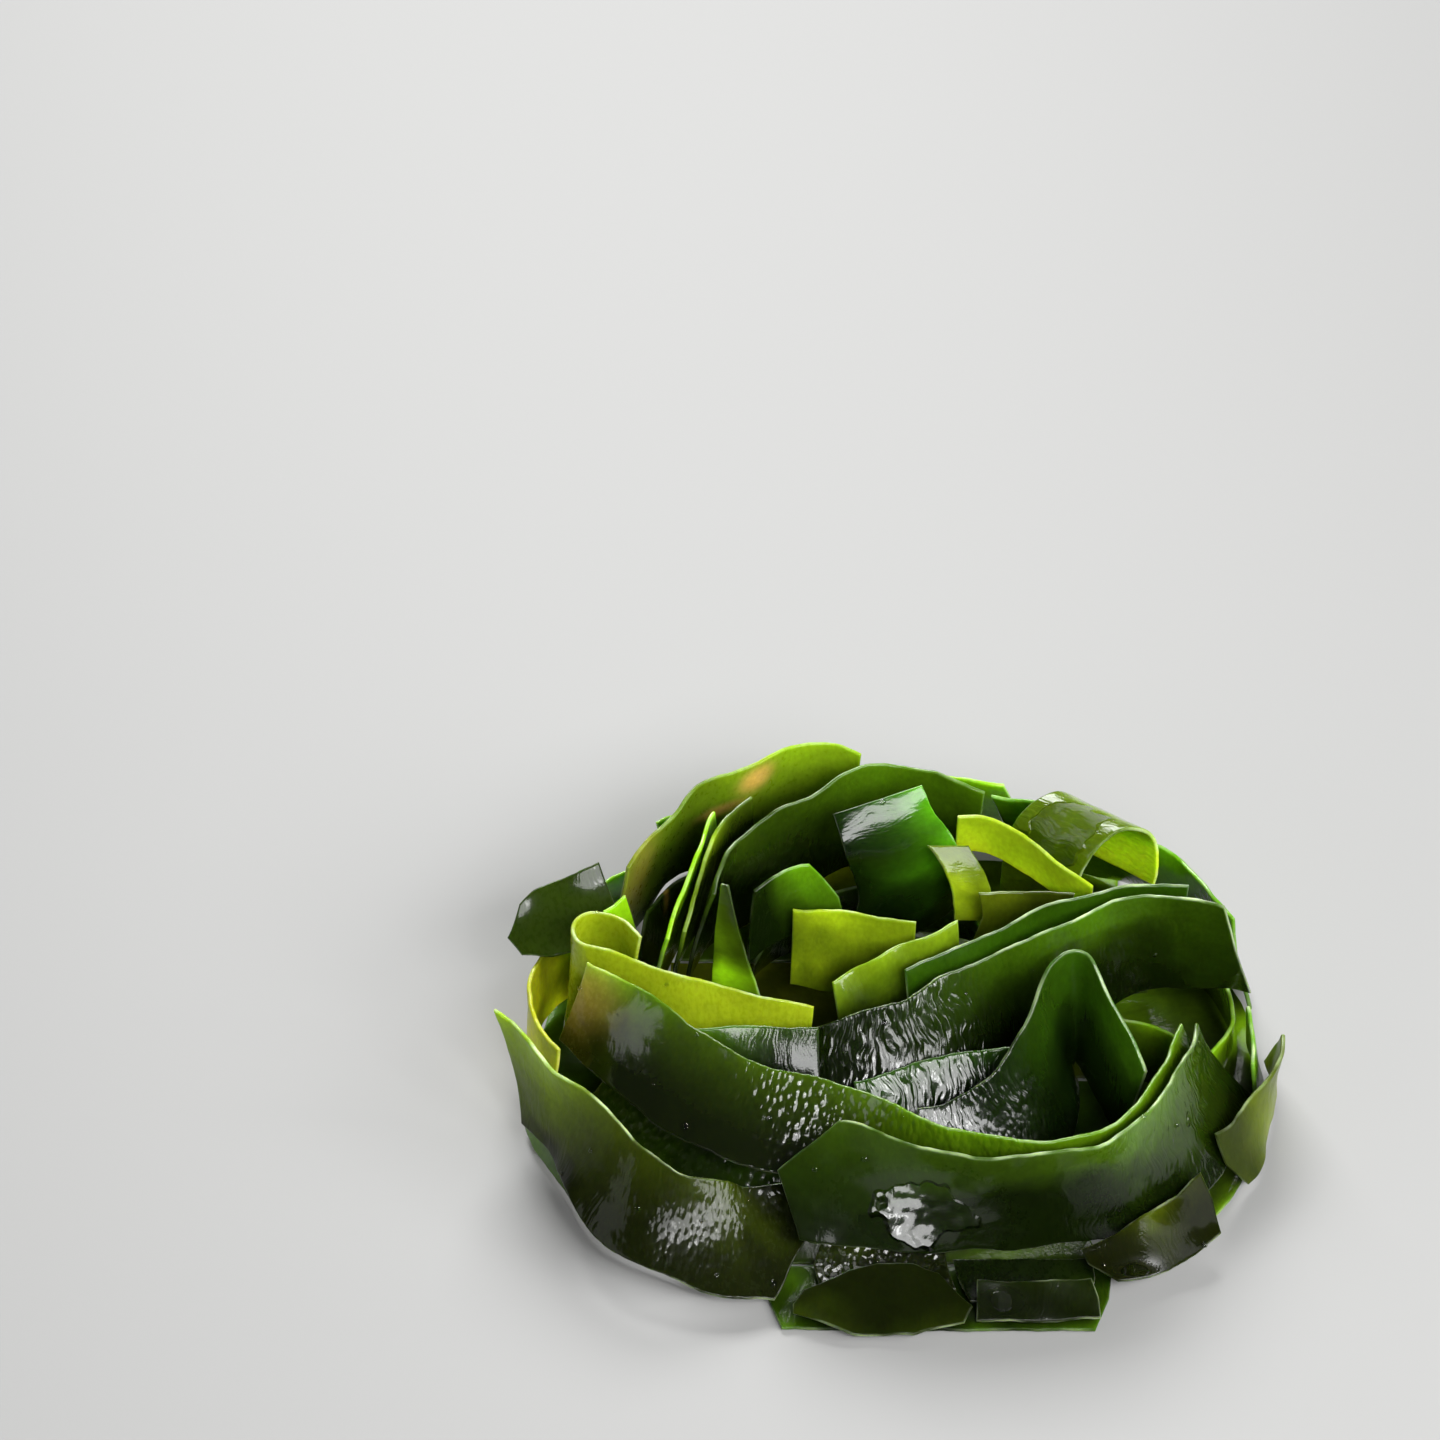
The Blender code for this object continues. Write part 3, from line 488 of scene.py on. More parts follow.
PLAIN = Skin()
LOW = Skin(film=all_along(0.2))
SKINS = {
    "front_sweep": Skin(
        light=((0, DEEP), (0.4, DEEP), (0.65, SHADED), (1, DEEP)),
        rise=0.6,
        warm=0.9,
        wrinkle=((0, 0.01), (0.5, 0.015), (0.68, 0.07), (1, 0.10)),
        film=((0, 0.3), (0.5, 0.4), (0.68, 1), (1, 1)),
        splashes=((0.26, -0.15, 0.13, 0.36, 2.2),),
        rim=0.8,
        cell=0.6,
    ),
    "left_skirt": Skin(
        light=((0.2, CLEAR), (0.45, DEEP), (0.65, BLACKISH), (0.8, DEEP)),
        rise=0.6,
        warm=1.3,
        wrinkle=((0, 0.02), (1, 0.03)),
        blister=((0, 0), (0.45, 0.01), (0.65, 0.06), (1, 0.08)),
        film=((0, 0.3), (0.6, 0.3), (0.8, 0.8), (1, 0.8)),
        rim=1.2,
        cell=0.6,
    ),
    "long_blister": Skin(
        light=((0, CLEAR), (0.15, DEEP), (0.35, DEEP), (0.5, SHADED)),
        rise=1,
        warm=1.2,
        wrinkle=((0, 0.01), (0.3, 0.02), (1, 0.04)),
        blister=((0, 0), (0.22, 0.01), (0.34, 0.10), (0.64, 0.12), (0.72, 0.03), (1, 0.02)),
        film=((0, 0.6), (0.1, 1), (1, 1)),
        stains=((0, 0.1, 0.06, 0.5, 0.35),),
        cell=0.42,
    ),
    "lower_blister": Skin(blister=((0, 0.07), (1, 0.09)), film=all_along(0.8), cell=0.42),
    "blister_slip": Skin(
        light=((0.3, SHADED), (0.8, BLACKISH)), rise=0.6, warm=1.4, blister=((0, 0.08), (1, 0.09)), cell=0.42
    ),
    "yellow_fold": Skin(
        light=all_along(CLEAR),
        rise=0.1,
        wrinkle=((0, 0.01), (1, 0.03)),
        blister=((0, 0), (0.5, 0.02), (1, 0.05)),
        film=all_along(0.6),
        rim=0.9,
    ),
    "centre_sweep": Skin(
        light=((0.2, BLACKISH), (0.5, SHADED), (0.75, CLEAR), (0.9, SHADED)),
        rise=0.4,
        wrinkle=((0, 0.05), (0.12, 0.11), (0.44, 0.12), (0.56, 0.04), (1, 0.01)),
        rim=1,
        cell=0.42,
    ),
    "centre_back": Skin(light=all_along(CLEAR), rise=-0.1, warm=0.8, rim=0.9),
    "silver_band": Skin(light=all_along(DEEP), rise=0.8, warm=0.7, wrinkle=all_along(0.11), cell=0.42),
    "tent": Skin(
        light=((0.25, BLACKISH), (0.55, SHADED), (0.9, CLEAR)),
        warm=0.8,
        wrinkle=((0, 0.06), (0.4, 0.05), (0.6, 0.02), (1, 0.03)),
        blister=((0, 0.05), (0.4, 0.06), (0.52, 0), (1, 0)),
        rim=0.6,
    ),
    "back_outer": Skin(
        light=((0.4, CLEAR), (0.6, SHADED)),
        rise=0.6,
        warm=0.7,
        film=all_along(0.5),
        stains=((0.38, 0.32, 0.06, 0.14, 0.9), (0.5, 0.12, 0.09, 0.06, 0.6), (0.92, 0.2, 0.1, 0.5, 0.25)),
    ),
    "left_back_low": Skin(stains=((0.42, 0.4, 0.05, 0.2, 0.8),)),
    "left_leaf": Skin(light=all_along(SHADED), rise=0, warm=1.2, film=all_along(0.6)),
    "left_drop": Skin(rise=-0.3, warm=1.2, film=all_along(0.3)),
    "right_edge": Skin(light=((0.1, BLACKISH), (0.4, SHADED)), rise=-0.3, film=all_along(0.3), rim=0.6),
    "right_outer": Skin(film=all_along(0.3), rim=0.9),
    "right_front_leaf": Skin(
        light=((0.2, BLACKISH), (0.5, SHADED), (0.8, BLACKISH)),
        rise=0.6,
        warm=1.4,
        film=all_along(0.1),
        splashes=((0.22, -0.34, 0.16, 0.2, 2.2),),
        rim=0.9,
    ),
    "bottom_leaf": Skin(
        light=((0.2, DEEP), (0.5, BLACKISH), (0.8, DEEP)), rise=-0.3, warm=1.2, film=all_along(0.25), rim=0.9
    ),
    "bottom_strip": Skin(
        light=all_along(DEEP),
        rise=0.5,
        warm=1.2,
        film=all_along(0.25),
        splashes=((0.2, 0, 0.16, 0.35, 2.2),),
        rim=1.2,
    ),
    "front_under": Skin(light=((0.1, BLACKISH), (0.8, CLEAR)), rise=-0.3, film=((0, 0.7), (1, 0.5)), rim=0.8),
    "roll": Skin(
        light=((0, SHADED), (0.55, SHADED), (0.9, GLOWING)),
        rise=0,
        warm=0.8,
        wrinkle=((0, 0.07), (1, 0.05)),
        splashes=((0.4, 0, 0.2, 0.4, 1.8),),
        rim=0.8,
    ),
    "tuck": Skin(light=((0.4, DEEP), (0.7, BLACKISH)), rise=1, warm=0.8),
    "light_frill": Skin(light=all_along(DEEP), rise=1, warm=0.8),
    "olive_band": Skin(light=((0, GLOWING), (0.7, EVEN)), rise=-0.1, warm=0.8),
    "arch": Skin(light=((0.2, BLACKISH), (0.4, SHADED), (0.7, CLEAR)), rise=0.4, warm=0.8),
    "back_sweep": Skin(light=((0.4, SHADED), (0.6, DEEP)), rise=0.6, warm=0.9),
    "fin_inner": Skin(light=((0.2, BLACKISH), (0.4, SHADED), (0.7, DEEP)), rise=0.7, warm=0.8),
    "flap": Skin(light=((0.1, CLEAR), (0.3, SHADED), (0.5, CLEAR), (0.8, SHADED)), rise=1, warm=0.7),
    "hook": Skin(light=((0.1, SHADED), (0.4, CLEAR), (0.7, EVEN)), rise=-0.1, warm=0.9),
    "yellow_slip": Skin(rise=-0.2, warm=0.9),
    "spike": Skin(light=((0.4, GLOWING), (0.55, CLEAR), (0.8, SHADED)), rise=-0.3),
    "under_slip": Skin(light=((0.3, CLEAR), (0.6, SHADED)), rise=-0.3, warm=0.9),
}


def unit(vector):
    """The vectors at length 1."""
    return vector / np.linalg.norm(vector, axis=-1, keepdims=True)


def spline(knots, values, at):
    """Values of the natural cubic curve through (knots, values), one column each, at the given places."""
    steps = np.diff(knots)
    slopes = np.diff(values, axis=0) / steps[:, None]
    count = len(knots)
    matrix = np.eye(count)
    right = np.zeros_like(values)
    for i in range(1, count - 1):
        matrix[i, i - 1:i + 2] = steps[i - 1], 2 * (steps[i - 1] + steps[i]), steps[i]
        right[i] = 6 * (slopes[i] - slopes[i - 1])
    bends = np.linalg.solve(matrix, right)
    i = np.clip(np.searchsorted(knots, at, side="right") - 1, 0, count - 2)
    h = steps[i][:, None]
    before = (knots[i + 1] - at)[:, None]
    after = (at - knots[i])[:, None]
    return (
        bends[i] * before**3 / (6 * h)
        + bends[i + 1] * after**3 / (6 * h)
        + (values[i] / h - bends[i] * h / 6) * before
        + (values[i + 1] / h - bends[i + 1] * h / 6) * after
    )


def middle_line(strip):
    """Places along the strip's middle line, its points, its leans in radians and its two cross directions."""
    stations = np.array(strip.route, float)
    chords = np.linalg.norm(np.diff(stations[:, :3], axis=0), axis=1)
    knots = np.concatenate([[0.0], np.cumsum(chords)])
    fine = spline(knots, stations, np.linspace(0, knots[-1], ROUTE_SAMPLES))
    points, lean = fine[:, :3], np.radians(fine[:, 3])
    along = unit(np.gradient(points, axis=0))
    side = np.array(strip.side, float)
    up = np.broadcast_to(unit(side), along.shape)
    left = unit(np.cross(up, along))
    travel = np.concatenate([[0.0], np.cumsum(np.linalg.norm(np.diff(points, axis=0), axis=1))])
    return travel, points, lean, up, left


def across(strip, share, lean):
    """How far up and left of its middle line the sheet is, at a share of the width from -0.5 to 0.5."""
    turn = math.radians(strip.curl)
    if abs(turn) < 1e-6:
        return share * np.cos(lean), share * np.sin(lean)
    end = lean + turn * share
    return (np.sin(end) - np.sin(lean)) / turn, (np.cos(lean) - np.cos(end)) / turn


def graded(length, cell, fine):
    """Places from 0 to 1 along a length, close together at both ends so that a cut edge comes out round."""
    near = [x for x in fine if x < 0.25 * length]
    count = max(2, round((length - 2 * near[-1]) / cell))
    inner = np.linspace(near[-1], length - near[-1], count + 1)[1:-1]
    return np.concatenate([near, inner, length - np.array(near[::-1])]) / length


def name_number(strip):
    """A number for the strip's name, by which its patterns differ from other strips'."""
    return sum(map(ord, strip.name))


def edge_waves(waves, s, start, skew):
    """The sum of the waves, each (wavelength, size), at places s mm along a strip."""
    return sum(
        size * np.sin(2 * math.pi * s / length + start * (i + 1) + skew)
        for i, (length, size) in enumerate(waves)
    )


def edge_wander(strip, s, shares):
    """Small uneven steps of the cut edges, as a share of the width."""
    steps = edge_waves(EDGE_STEPS, s, name_number(strip), 7 * shares)
    return steps / strip.width * np.abs(2 * shares) ** 3


def edge_frill(strip, s, shares):
    """Small waves of the cut edges to either side of the sheet, in mm."""
    frills = edge_waves(EDGE_FRILLS, s, name_number(strip) * 1.3, 3 * shares)
    return frills * np.abs(2 * shares) ** 4 * min(1.0, strip.ruffle[0] / 0.4)


def sheet_points(strip, places, shares, wander=0.0):
    """The strip's middle surface at a grid of places along it (0 to 1) and shares of its width (-0.5 to 0.5).

    Returns the points and, in mm, how far along the strip and across it each one is.
    """
    travel, points, lean, up, left = middle_line(strip)
    first = np.interp(shares, (-0.5, 0, 0.5), strip.start)
    last = travel[-1] - np.interp(shares, (-0.5, 0, 0.5), strip.end)
    s = first + (last - first) * places[:, None]
    v = np.broadcast_to(shares, s.shape)

    def at(values):
        return np.stack([np.interp(s, travel, values[:, k]) for k in range(3)], -1)

    height, wavelength, phase = strip.ruffle
    tilt = np.interp(s, travel, lean)
    rise, shift = across(strip, v, tilt)
    width = strip.width * np.interp(s / travel[-1], (0, 1 / 3, 2 / 3, 1), strip.widths)
    start = math.radians(phase)
    wobble = EDGE_WOBBLE[0] * height * np.sin(2 * math.pi * s / EDGE_WOBBLE[1] + start + 5 * v)
    width = width * (1 + wobble + wander * edge_wander(strip, s, v))
    swing = height * (2 * v) ** 2 * np.sin(2 * math.pi * s / wavelength + start + 2.0 * v)
    swing = swing + wander * edge_frill(strip, s, v)
    turned = tilt + math.radians(strip.curl) * v
    grid = (
        at(points)
        + (width * rise + swing * np.sin(turned))[..., None] * at(up)
        + (width * shift - swing * np.cos(turned))[..., None] * unit(at(left))
    )
    grid[..., :2] -= NEST_MIDDLE
    return grid * MM, s, v * width


def grid_faces(rows, columns):
    """The four corners of each face of a grid of points."""
    corner = np.arange((rows - 1) * columns).reshape(rows - 1, columns)[:, :-1].ravel()
    return np.stack([corner, corner + columns, corner + columns + 1, corner + 1], 1)


class Shade:
    """How open each place on the strips is to the light, counting the layers of kelp in its way."""

    STEP = 3.0  # mm between the places that are measured
    LAYER = 0.34  # share of the light that one layer lets through
    LAYERS = 4
    LIFT = 0.0011  # metres from a place to the start of its rays
    SKIP = 0.0004  # metres past a layer that a ray has met
    REACH = 0.3  # metres that a ray goes
    SHUT = 0.08  # the openness that counts as none, and how much more counts as all
    SPAN = 0.62
    RINGS = ((14, 1.0), (34, 1.0), (56, 0.8), (80, 0.6))  # degrees above the floor, weight
    SIDES = ((-50, 0.8), (-17, 1.0), (17, 1.0), (50, 0.8), (100, 0.25), (180, 0.15), (-100, 0.25))
    TWIST = 9  # degrees between one ring and the next

    def __init__(self):
        self.grids = {}
        points, faces, count = [], [], 0
        for strip in STRIPS:
            length = middle_line(strip)[0][-1]
            places = np.linspace(0, 1, max(3, round(length / self.STEP)) + 1)
            shares = np.linspace(-0.5, 0.5, max(3, round(strip.width / self.STEP)) + 1)
            grid = sheet_points(strip, places, shares)[0]
            self.grids[strip.name] = places, shares, grid
            faces.append(grid_faces(len(places), len(shares)) + count)
            points.append(grid.reshape(-1, 3))
            count += len(points[-1])
        self.tree = BVHTree.FromPolygons(np.concatenate(points).tolist(), np.concatenate(faces).tolist())
        self.ways = []
        for turn, (rise, share) in enumerate(self.RINGS):
            for azimuth, weight in self.SIDES:
                a, e = math.radians(azimuth + self.TWIST * turn), math.radians(rise)
                way = Vector((math.sin(a) * math.cos(e), math.cos(a) * math.cos(e), math.sin(e)))
                self.ways.append((way, share * weight))

    def openness(self, name):
        """Places, shares and the share of light for the named strip's grid."""
        places, shares, grid = self.grids[name]
        light = np.zeros(grid.shape[:2])
        for index in np.ndindex(light.shape):
            point = Vector(grid[index])
            for way, weight in self.ways:
                start, through = point + way * self.LIFT, weight
                for _ in range(self.LAYERS):
                    hit = self.tree.ray_cast(start, way, self.REACH)[0]
                    if hit is None:
                        break
                    through *= self.LAYER
                    start = hit + way * self.SKIP
                light[index] += through
        return places, shares, light / sum(weight for _, weight in self.ways)


SHADE = Shade()


def spread(table, places, shares):
    """A coarse table over places and shares, brought to a finer grid."""
    at, over, values = table
    along = np.stack([np.interp(places, at, column) for column in values.T], 1)
    return np.stack([np.interp(shares, over, row) for row in along])


def spots(marks, places, shares):
    """The strength of a strip's stains or splashes at each place."""
    total = np.zeros((len(places), len(shares)))
    for along, over, half_long, half_wide, strength in marks:
        away = ((places[:, None] - along) / half_long) ** 2 + ((shares - over) / half_wide) ** 2
        total = np.maximum(total, strength * np.exp(-(away**1.5)))
    return total


def strip_colour_and_painted_light(strip, skin, length, places, shares, edge):
    """The strip's colour with painted light: its tone darkened by painted shade where other strips shut the
    light out, lit by a painted glow where light comes through, and pale at its cut edge.
    """
    shut, lit = (np.array(colour) for colour in TONES[strip.tone])
    light = spread(SHADE.openness(strip.name), places, shares)
    light = np.clip((light - SHADE.SHUT) / SHADE.SPAN, 0, 1) ** 1.2
    # Painted light is lifted or lowered along the strip, and the high edge is painted lighter than the low
    # edge.
    light = light + np.interp(places, *zip(*skin.light))[:, None] + skin.rise * shares
    light = np.clip(light, 0, 1.15)[..., None]
    # Painted shade and glow: the tone runs from its shut colour to its lit colour with this painted light.
    colour = shut ** (1 - light) * lit**light * (skin.warm, 1, 1)
    stain = spots(skin.stains, places, shares)[..., None]
    # The tan stain is the kelp's own colour, darkened by the same painted shade.
    colour = colour * (1 - stain) + np.array(STAIN) * (0.1 + light) * stain
    # The pale rim is partly the paler cut edge and partly a painted highlight that grows with the painted
    # light.
    start, run = name_number(strip), places[:, None] * length
    patchy = 0.45 + 0.35 * np.sin(run / 3.1 + start + 9 * shares) + 0.35 * np.sin(run / 1.3 + 2 * start)
    near = np.exp(-((edge / RIM_WIDTH) ** 2)) * np.clip(patchy, 0.08, 1)
    rim = near[..., None] * skin.rim * (0.35 + 0.5 * light)
    return colour * (1 - rim) + np.array(CUT_EDGE_AND_HIGHLIGHT) * rim


def strip_mesh(strip, skin):
    """The strip's middle surface as a fine mesh that carries what the sheet and its skin need."""
    length = middle_line(strip)[0][-1]
    places = graded(length, skin.cell, EDGE_ROWS)
    shares = graded(strip.width, skin.cell, EDGE_ROWS) - 0.5
    grid, along, over = sheet_points(strip, places, shares, wander=1.0)
    from_end = (np.minimum(places, 1 - places) * length)[:, None]
    edge = np.minimum((0.5 - np.abs(shares)) * strip.width, from_end)
    mesh = bpy.data.meshes.new(strip.name + "_middle")
    faces = grid_faces(len(places), len(shares))
    mesh.from_pydata(grid.reshape(-1, 3).tolist(), [], faces.tolist())
    layer = name_number(strip) % 97 * 1.7  # sets the strip's patterns apart from other strips'
    wrinkle, blister, film = (
        np.broadcast_to(np.interp(places, *zip(*points))[:, None], edge.shape)
        for points in (skin.wrinkle, skin.blister, skin.film)
    )
    water = film + spots(skin.splashes, places, shares)
    tint = strip_colour_and_painted_light(strip, skin, length, places, shares, edge)
    for name, kind, key, values in (
        ("strip_place", "FLOAT_VECTOR", "vector", np.stack([along, over, np.full_like(along, layer)], -1)),
        ("skin_relief", "FLOAT_VECTOR", "vector", np.stack([wrinkle, blister, water], -1)),
        ("edge_gap", "FLOAT", "value", edge * MM),
        ("tint", "FLOAT_COLOR", "color", np.concatenate([tint, np.ones_like(tint[..., :1])], -1)),
    ):
        mesh.attributes.new(name, kind, "POINT").data.foreach_set(key, values.astype(np.float32).ravel())
    return mesh


class Graph:
    """Adds nodes to a node tree. A value may be plain, a socket, or a node, whose first output is used."""

    def __init__(self, tree):
        self.tree = tree

    def put(self, kind, *values, named=(), **settings):
        node = self.tree.nodes.new(kind)
        for key, value in settings.items():
            setattr(node, key, value)
        for key, value in [*enumerate(values), *dict(named).items()]:
            socket = node.inputs[key]
            value = value.outputs[0] if isinstance(value, bpy.types.Node) else value
            if isinstance(value, bpy.types.NodeSocket):
                self.tree.links.new(value, socket)
            else:
                socket.default_value = value
        return node

    def math(self, operation, *values):
        return self.put("ShaderNodeMath", *values, operation=operation)

    def vector(self, operation, *values):
        return self.put("ShaderNodeVectorMath", *values, operation=operation)

    def scale(self, vector, factor):
        """The vector times a number that may be a node."""
        node = self.vector("SCALE", vector)
        factor = factor.outputs[0] if isinstance(factor, bpy.types.Node) else factor
        self.tree.links.new(factor, node.inputs["Scale"])
        return node

    def noise(self, place, scale, detail, roughness=0.5):
        """Noise from 0 to 1 over a place in mm, which the scales along and across the strip stretch."""
        scaled = place if scale is None else self.vector("MULTIPLY", place, (*scale, 1.0))
        named = {"Scale": 1.0, "Detail": detail, "Roughness": roughness}
        return self.put("ShaderNodeTexNoise", scaled, named=named).outputs[0]

    def ramp(self, value, low, high, first, last):
        """The value brought from low..high to first..last."""
        return self.put("ShaderNodeMapRange", value, low, high, first, last)


def skin_pattern(graph, place, relief):
    """Height of the skin in mm from its cross wrinkles and blisters, for a geometry tree or a material."""
    parts = graph.put("ShaderNodeSeparateXYZ", relief)
    bend = graph.math("MULTIPLY", graph.noise(place, (0.16, 0.16), 1.0), 3.2)
    stretched = graph.vector("MULTIPLY", place, (0.62, 0.11, 1.0))
    shifted = graph.vector("ADD", stretched, graph.put("ShaderNodeCombineXYZ", bend))
    lines = graph.noise(shifted, None, 2.0, 0.45)
    ridge = graph.math("ABSOLUTE", graph.math("MULTIPLY_ADD", lines, 2.0, -1.0))
    cells = graph.put(
        "ShaderNodeTexVoronoi",
        graph.vector("MULTIPLY", place, (0.90, 0.50, 1.0)),
        named={"Scale": 1.0, "Smoothness": 0.35, "Randomness": 0.9},
        feature="SMOOTH_F1",
    )
    dome = graph.math("SUBTRACT", 0.6, cells.outputs["Distance"])
    return graph.math(
        "ADD",
        graph.math("MULTIPLY", graph.math("MULTIPLY", ridge, 3.2), parts.outputs[0]),
        graph.math("MULTIPLY", graph.math("MULTIPLY", dome, 2.0), parts.outputs[1]),
    )


def new_tree(name, inputs):
    """A geometry tree with these named inputs after its geometry: (name, socket type, default)."""
    tree = bpy.data.node_groups.new(name, "GeometryNodeTree")
    tree.is_modifier = True
    tree.interface.new_socket("Geometry", in_out="INPUT", socket_type="NodeSocketGeometry")
    tree.interface.new_socket("Geometry", in_out="OUTPUT", socket_type="NodeSocketGeometry")
    for label, kind, default in inputs:
        socket = tree.interface.new_socket(label, in_out="INPUT", socket_type="NodeSocket" + kind)
        if default is not None:
            socket.default_value = default
    return tree, Graph(tree), tree.nodes.new("NodeGroupInput")


def end_tree(graph, geometry, material):
    """Realize Instances and Set Material, then the tree's output."""
    real = graph.put("GeometryNodeRealizeInstances", geometry)
    dressed = graph.put("GeometryNodeSetMaterial", real, named={"Material": material})
    graph.put("NodeGroupOutput", dressed)


def sheet_tree():
    """Turns a strip's middle surface into a closed sheet, rumpled, blistered and round at its cut edges."""
    tree, graph, given = new_tree(
        "Kelp Sheet",
        (
            ("Thickness", "Float", THICKNESS * MM),
            ("Edge Round", "Float", 0.4 * MM),
            ("Rumple Height", "Float", 0.3 * MM),
            ("Rumple Size", "Float", 9.0),
            ("Relief Share", "Float", 1.0),
            ("Seed", "Int", 0),
            ("Material", "Material", None),
        ),
    )
    put, calc = graph.put, graph.math
    normal = put("GeometryNodeInputNormal").outputs["Normal"]

    def stored(name, kind):
        return put("GeometryNodeInputNamedAttribute", name, data_type=kind).outputs["Attribute"]

    def push(geometry, height):
        return put("GeometryNodeSetPosition", geometry, named={"Offset": graph.scale(normal, height)})

    place, relief = (stored(name, "FLOAT_VECTOR") for name in ("strip_place", "skin_relief"))
    gap = stored("edge_gap", "FLOAT")
    scaled = graph.scale(place, calc("DIVIDE", 1.0, given.outputs["Rumple Size"]))
    seeded = graph.vector("ADD", scaled, put("ShaderNodeCombineXYZ", 0.0, 0.0, given.outputs["Seed"]))
    swell = calc("MULTIPLY_ADD", graph.noise(seeded, None, 2.0), 2.0, -1.0)
    rumpled = push(given.outputs["Geometry"], calc("MULTIPLY", swell, given.outputs["Rumple Height"]))
    fade = graph.ramp(gap, 0.0, 0.8 * MM, 0.0, 1.0)
    pattern = calc("MULTIPLY", skin_pattern(graph, place, relief), MM)
    skin = push(rumpled, calc("MULTIPLY", pattern, calc("MULTIPLY", given.outputs["Relief Share"], fade)))

    inner = calc("SUBTRACT", 1.0, calc("MINIMUM", calc("DIVIDE", gap, given.outputs["Edge Round"]), 1.0))
    round_off = calc("SQRT", calc("SUBTRACT", 1.0, calc("MULTIPLY", inner, inner)))
    half = calc("MULTIPLY", calc("MULTIPLY", given.outputs["Thickness"], 0.5), round_off)
    top = push(skin, half)
    bottom = put("GeometryNodeFlipFaces", push(skin, calc("MULTIPLY", half, -1.0)))
    both = put("GeometryNodeJoinGeometry")
    tree.links.new(bottom.outputs[0], both.inputs[0])
    tree.links.new(top.outputs[0], both.inputs[0])
    closed = put("GeometryNodeMergeByDistance", both, named={"Distance": 0.002 * MM})
    smooth = put("GeometryNodeSetShadeSmooth", closed)
    end_tree(graph, smooth, given.outputs["Material"])
    return tree


def bead_tree():
    """Scatters round water beads over a skin, sunk a little into it."""
    tree, graph, given = new_tree(
        "Water Beads",
        (
            ("Bead Spacing", "Float", 6.0 * MM),
            ("Beads Per Area", "Float", 9000.0),
            ("Smallest Bead", "Float", 0.25 * MM),
            ("Largest Bead", "Float", 0.75 * MM),
            ("Seed", "Int", 3),
            ("Material", "Material", None),
        ),
    )
    put = graph.put
    up = put("ShaderNodeSeparateXYZ", put("GeometryNodeInputNormal").outputs["Normal"]).outputs[2]
    facing_up = put("FunctionNodeCompare", up, 0.25, data_type="FLOAT", operation="GREATER_THAN")
    scattered = put(
        "GeometryNodeDistributePointsOnFaces",
        given.outputs["Geometry"],
        named={
            "Selection": facing_up,
            "Distance Min": given.outputs["Bead Spacing"],
            "Density Max": given.outputs["Beads Per Area"],
            "Seed": given.outputs["Seed"],
        },
        distribute_method="POISSON",
    )
    bead = put("GeometryNodeMeshIcoSphere", 1.0, 3)
    size = put("FunctionNodeRandomValue", data_type="FLOAT")
    tree.links.new(given.outputs["Smallest Bead"], size.inputs[2])
    tree.links.new(given.outputs["Largest Bead"], size.inputs[3])
    tree.links.new(given.outputs["Seed"], size.inputs["Seed"])
    even = put("ShaderNodeCombineXYZ", *[size.outputs[1]] * 3)
    placed = put(
        "GeometryNodeInstanceOnPoints",
        scattered.outputs["Points"],
        named={
            "Instance": bead.outputs["Mesh"],
            "Rotation": scattered.outputs["Rotation"],
            "Scale": graph.vector("MULTIPLY", even, (1.0, 1.0, 0.6)),
        },
    )
    smooth = put("GeometryNodeSetShadeSmooth", put("GeometryNodeRealizeInstances", placed))
    end_tree(graph, smooth, given.outputs["Material"])
    return tree


def grown(name, mesh, tree, values):
    """The mesh after the tree, as a plain mesh object at the origin."""
    source = bpy.data.objects.new(name + "_source", mesh)
    bpy.context.scene.collection.objects.link(source)
    modifier = source.modifiers.new("grow", "NODES")
    modifier.node_group = tree
    for item in tree.interface.items_tree:
        if item.item_type == "SOCKET" and item.in_out == "INPUT" and item.name in values:
            modifier[item.identifier] = values[item.name]
    graph = bpy.context.evaluated_depsgraph_get()
    made = bpy.data.meshes.new_from_object(source.evaluated_get(graph), depsgraph=graph)
    bpy.data.objects.remove(source)
    made.name = name
    piece = bpy.data.objects.new(name, made)
    bpy.context.scene.collection.objects.link(piece)
    return piece


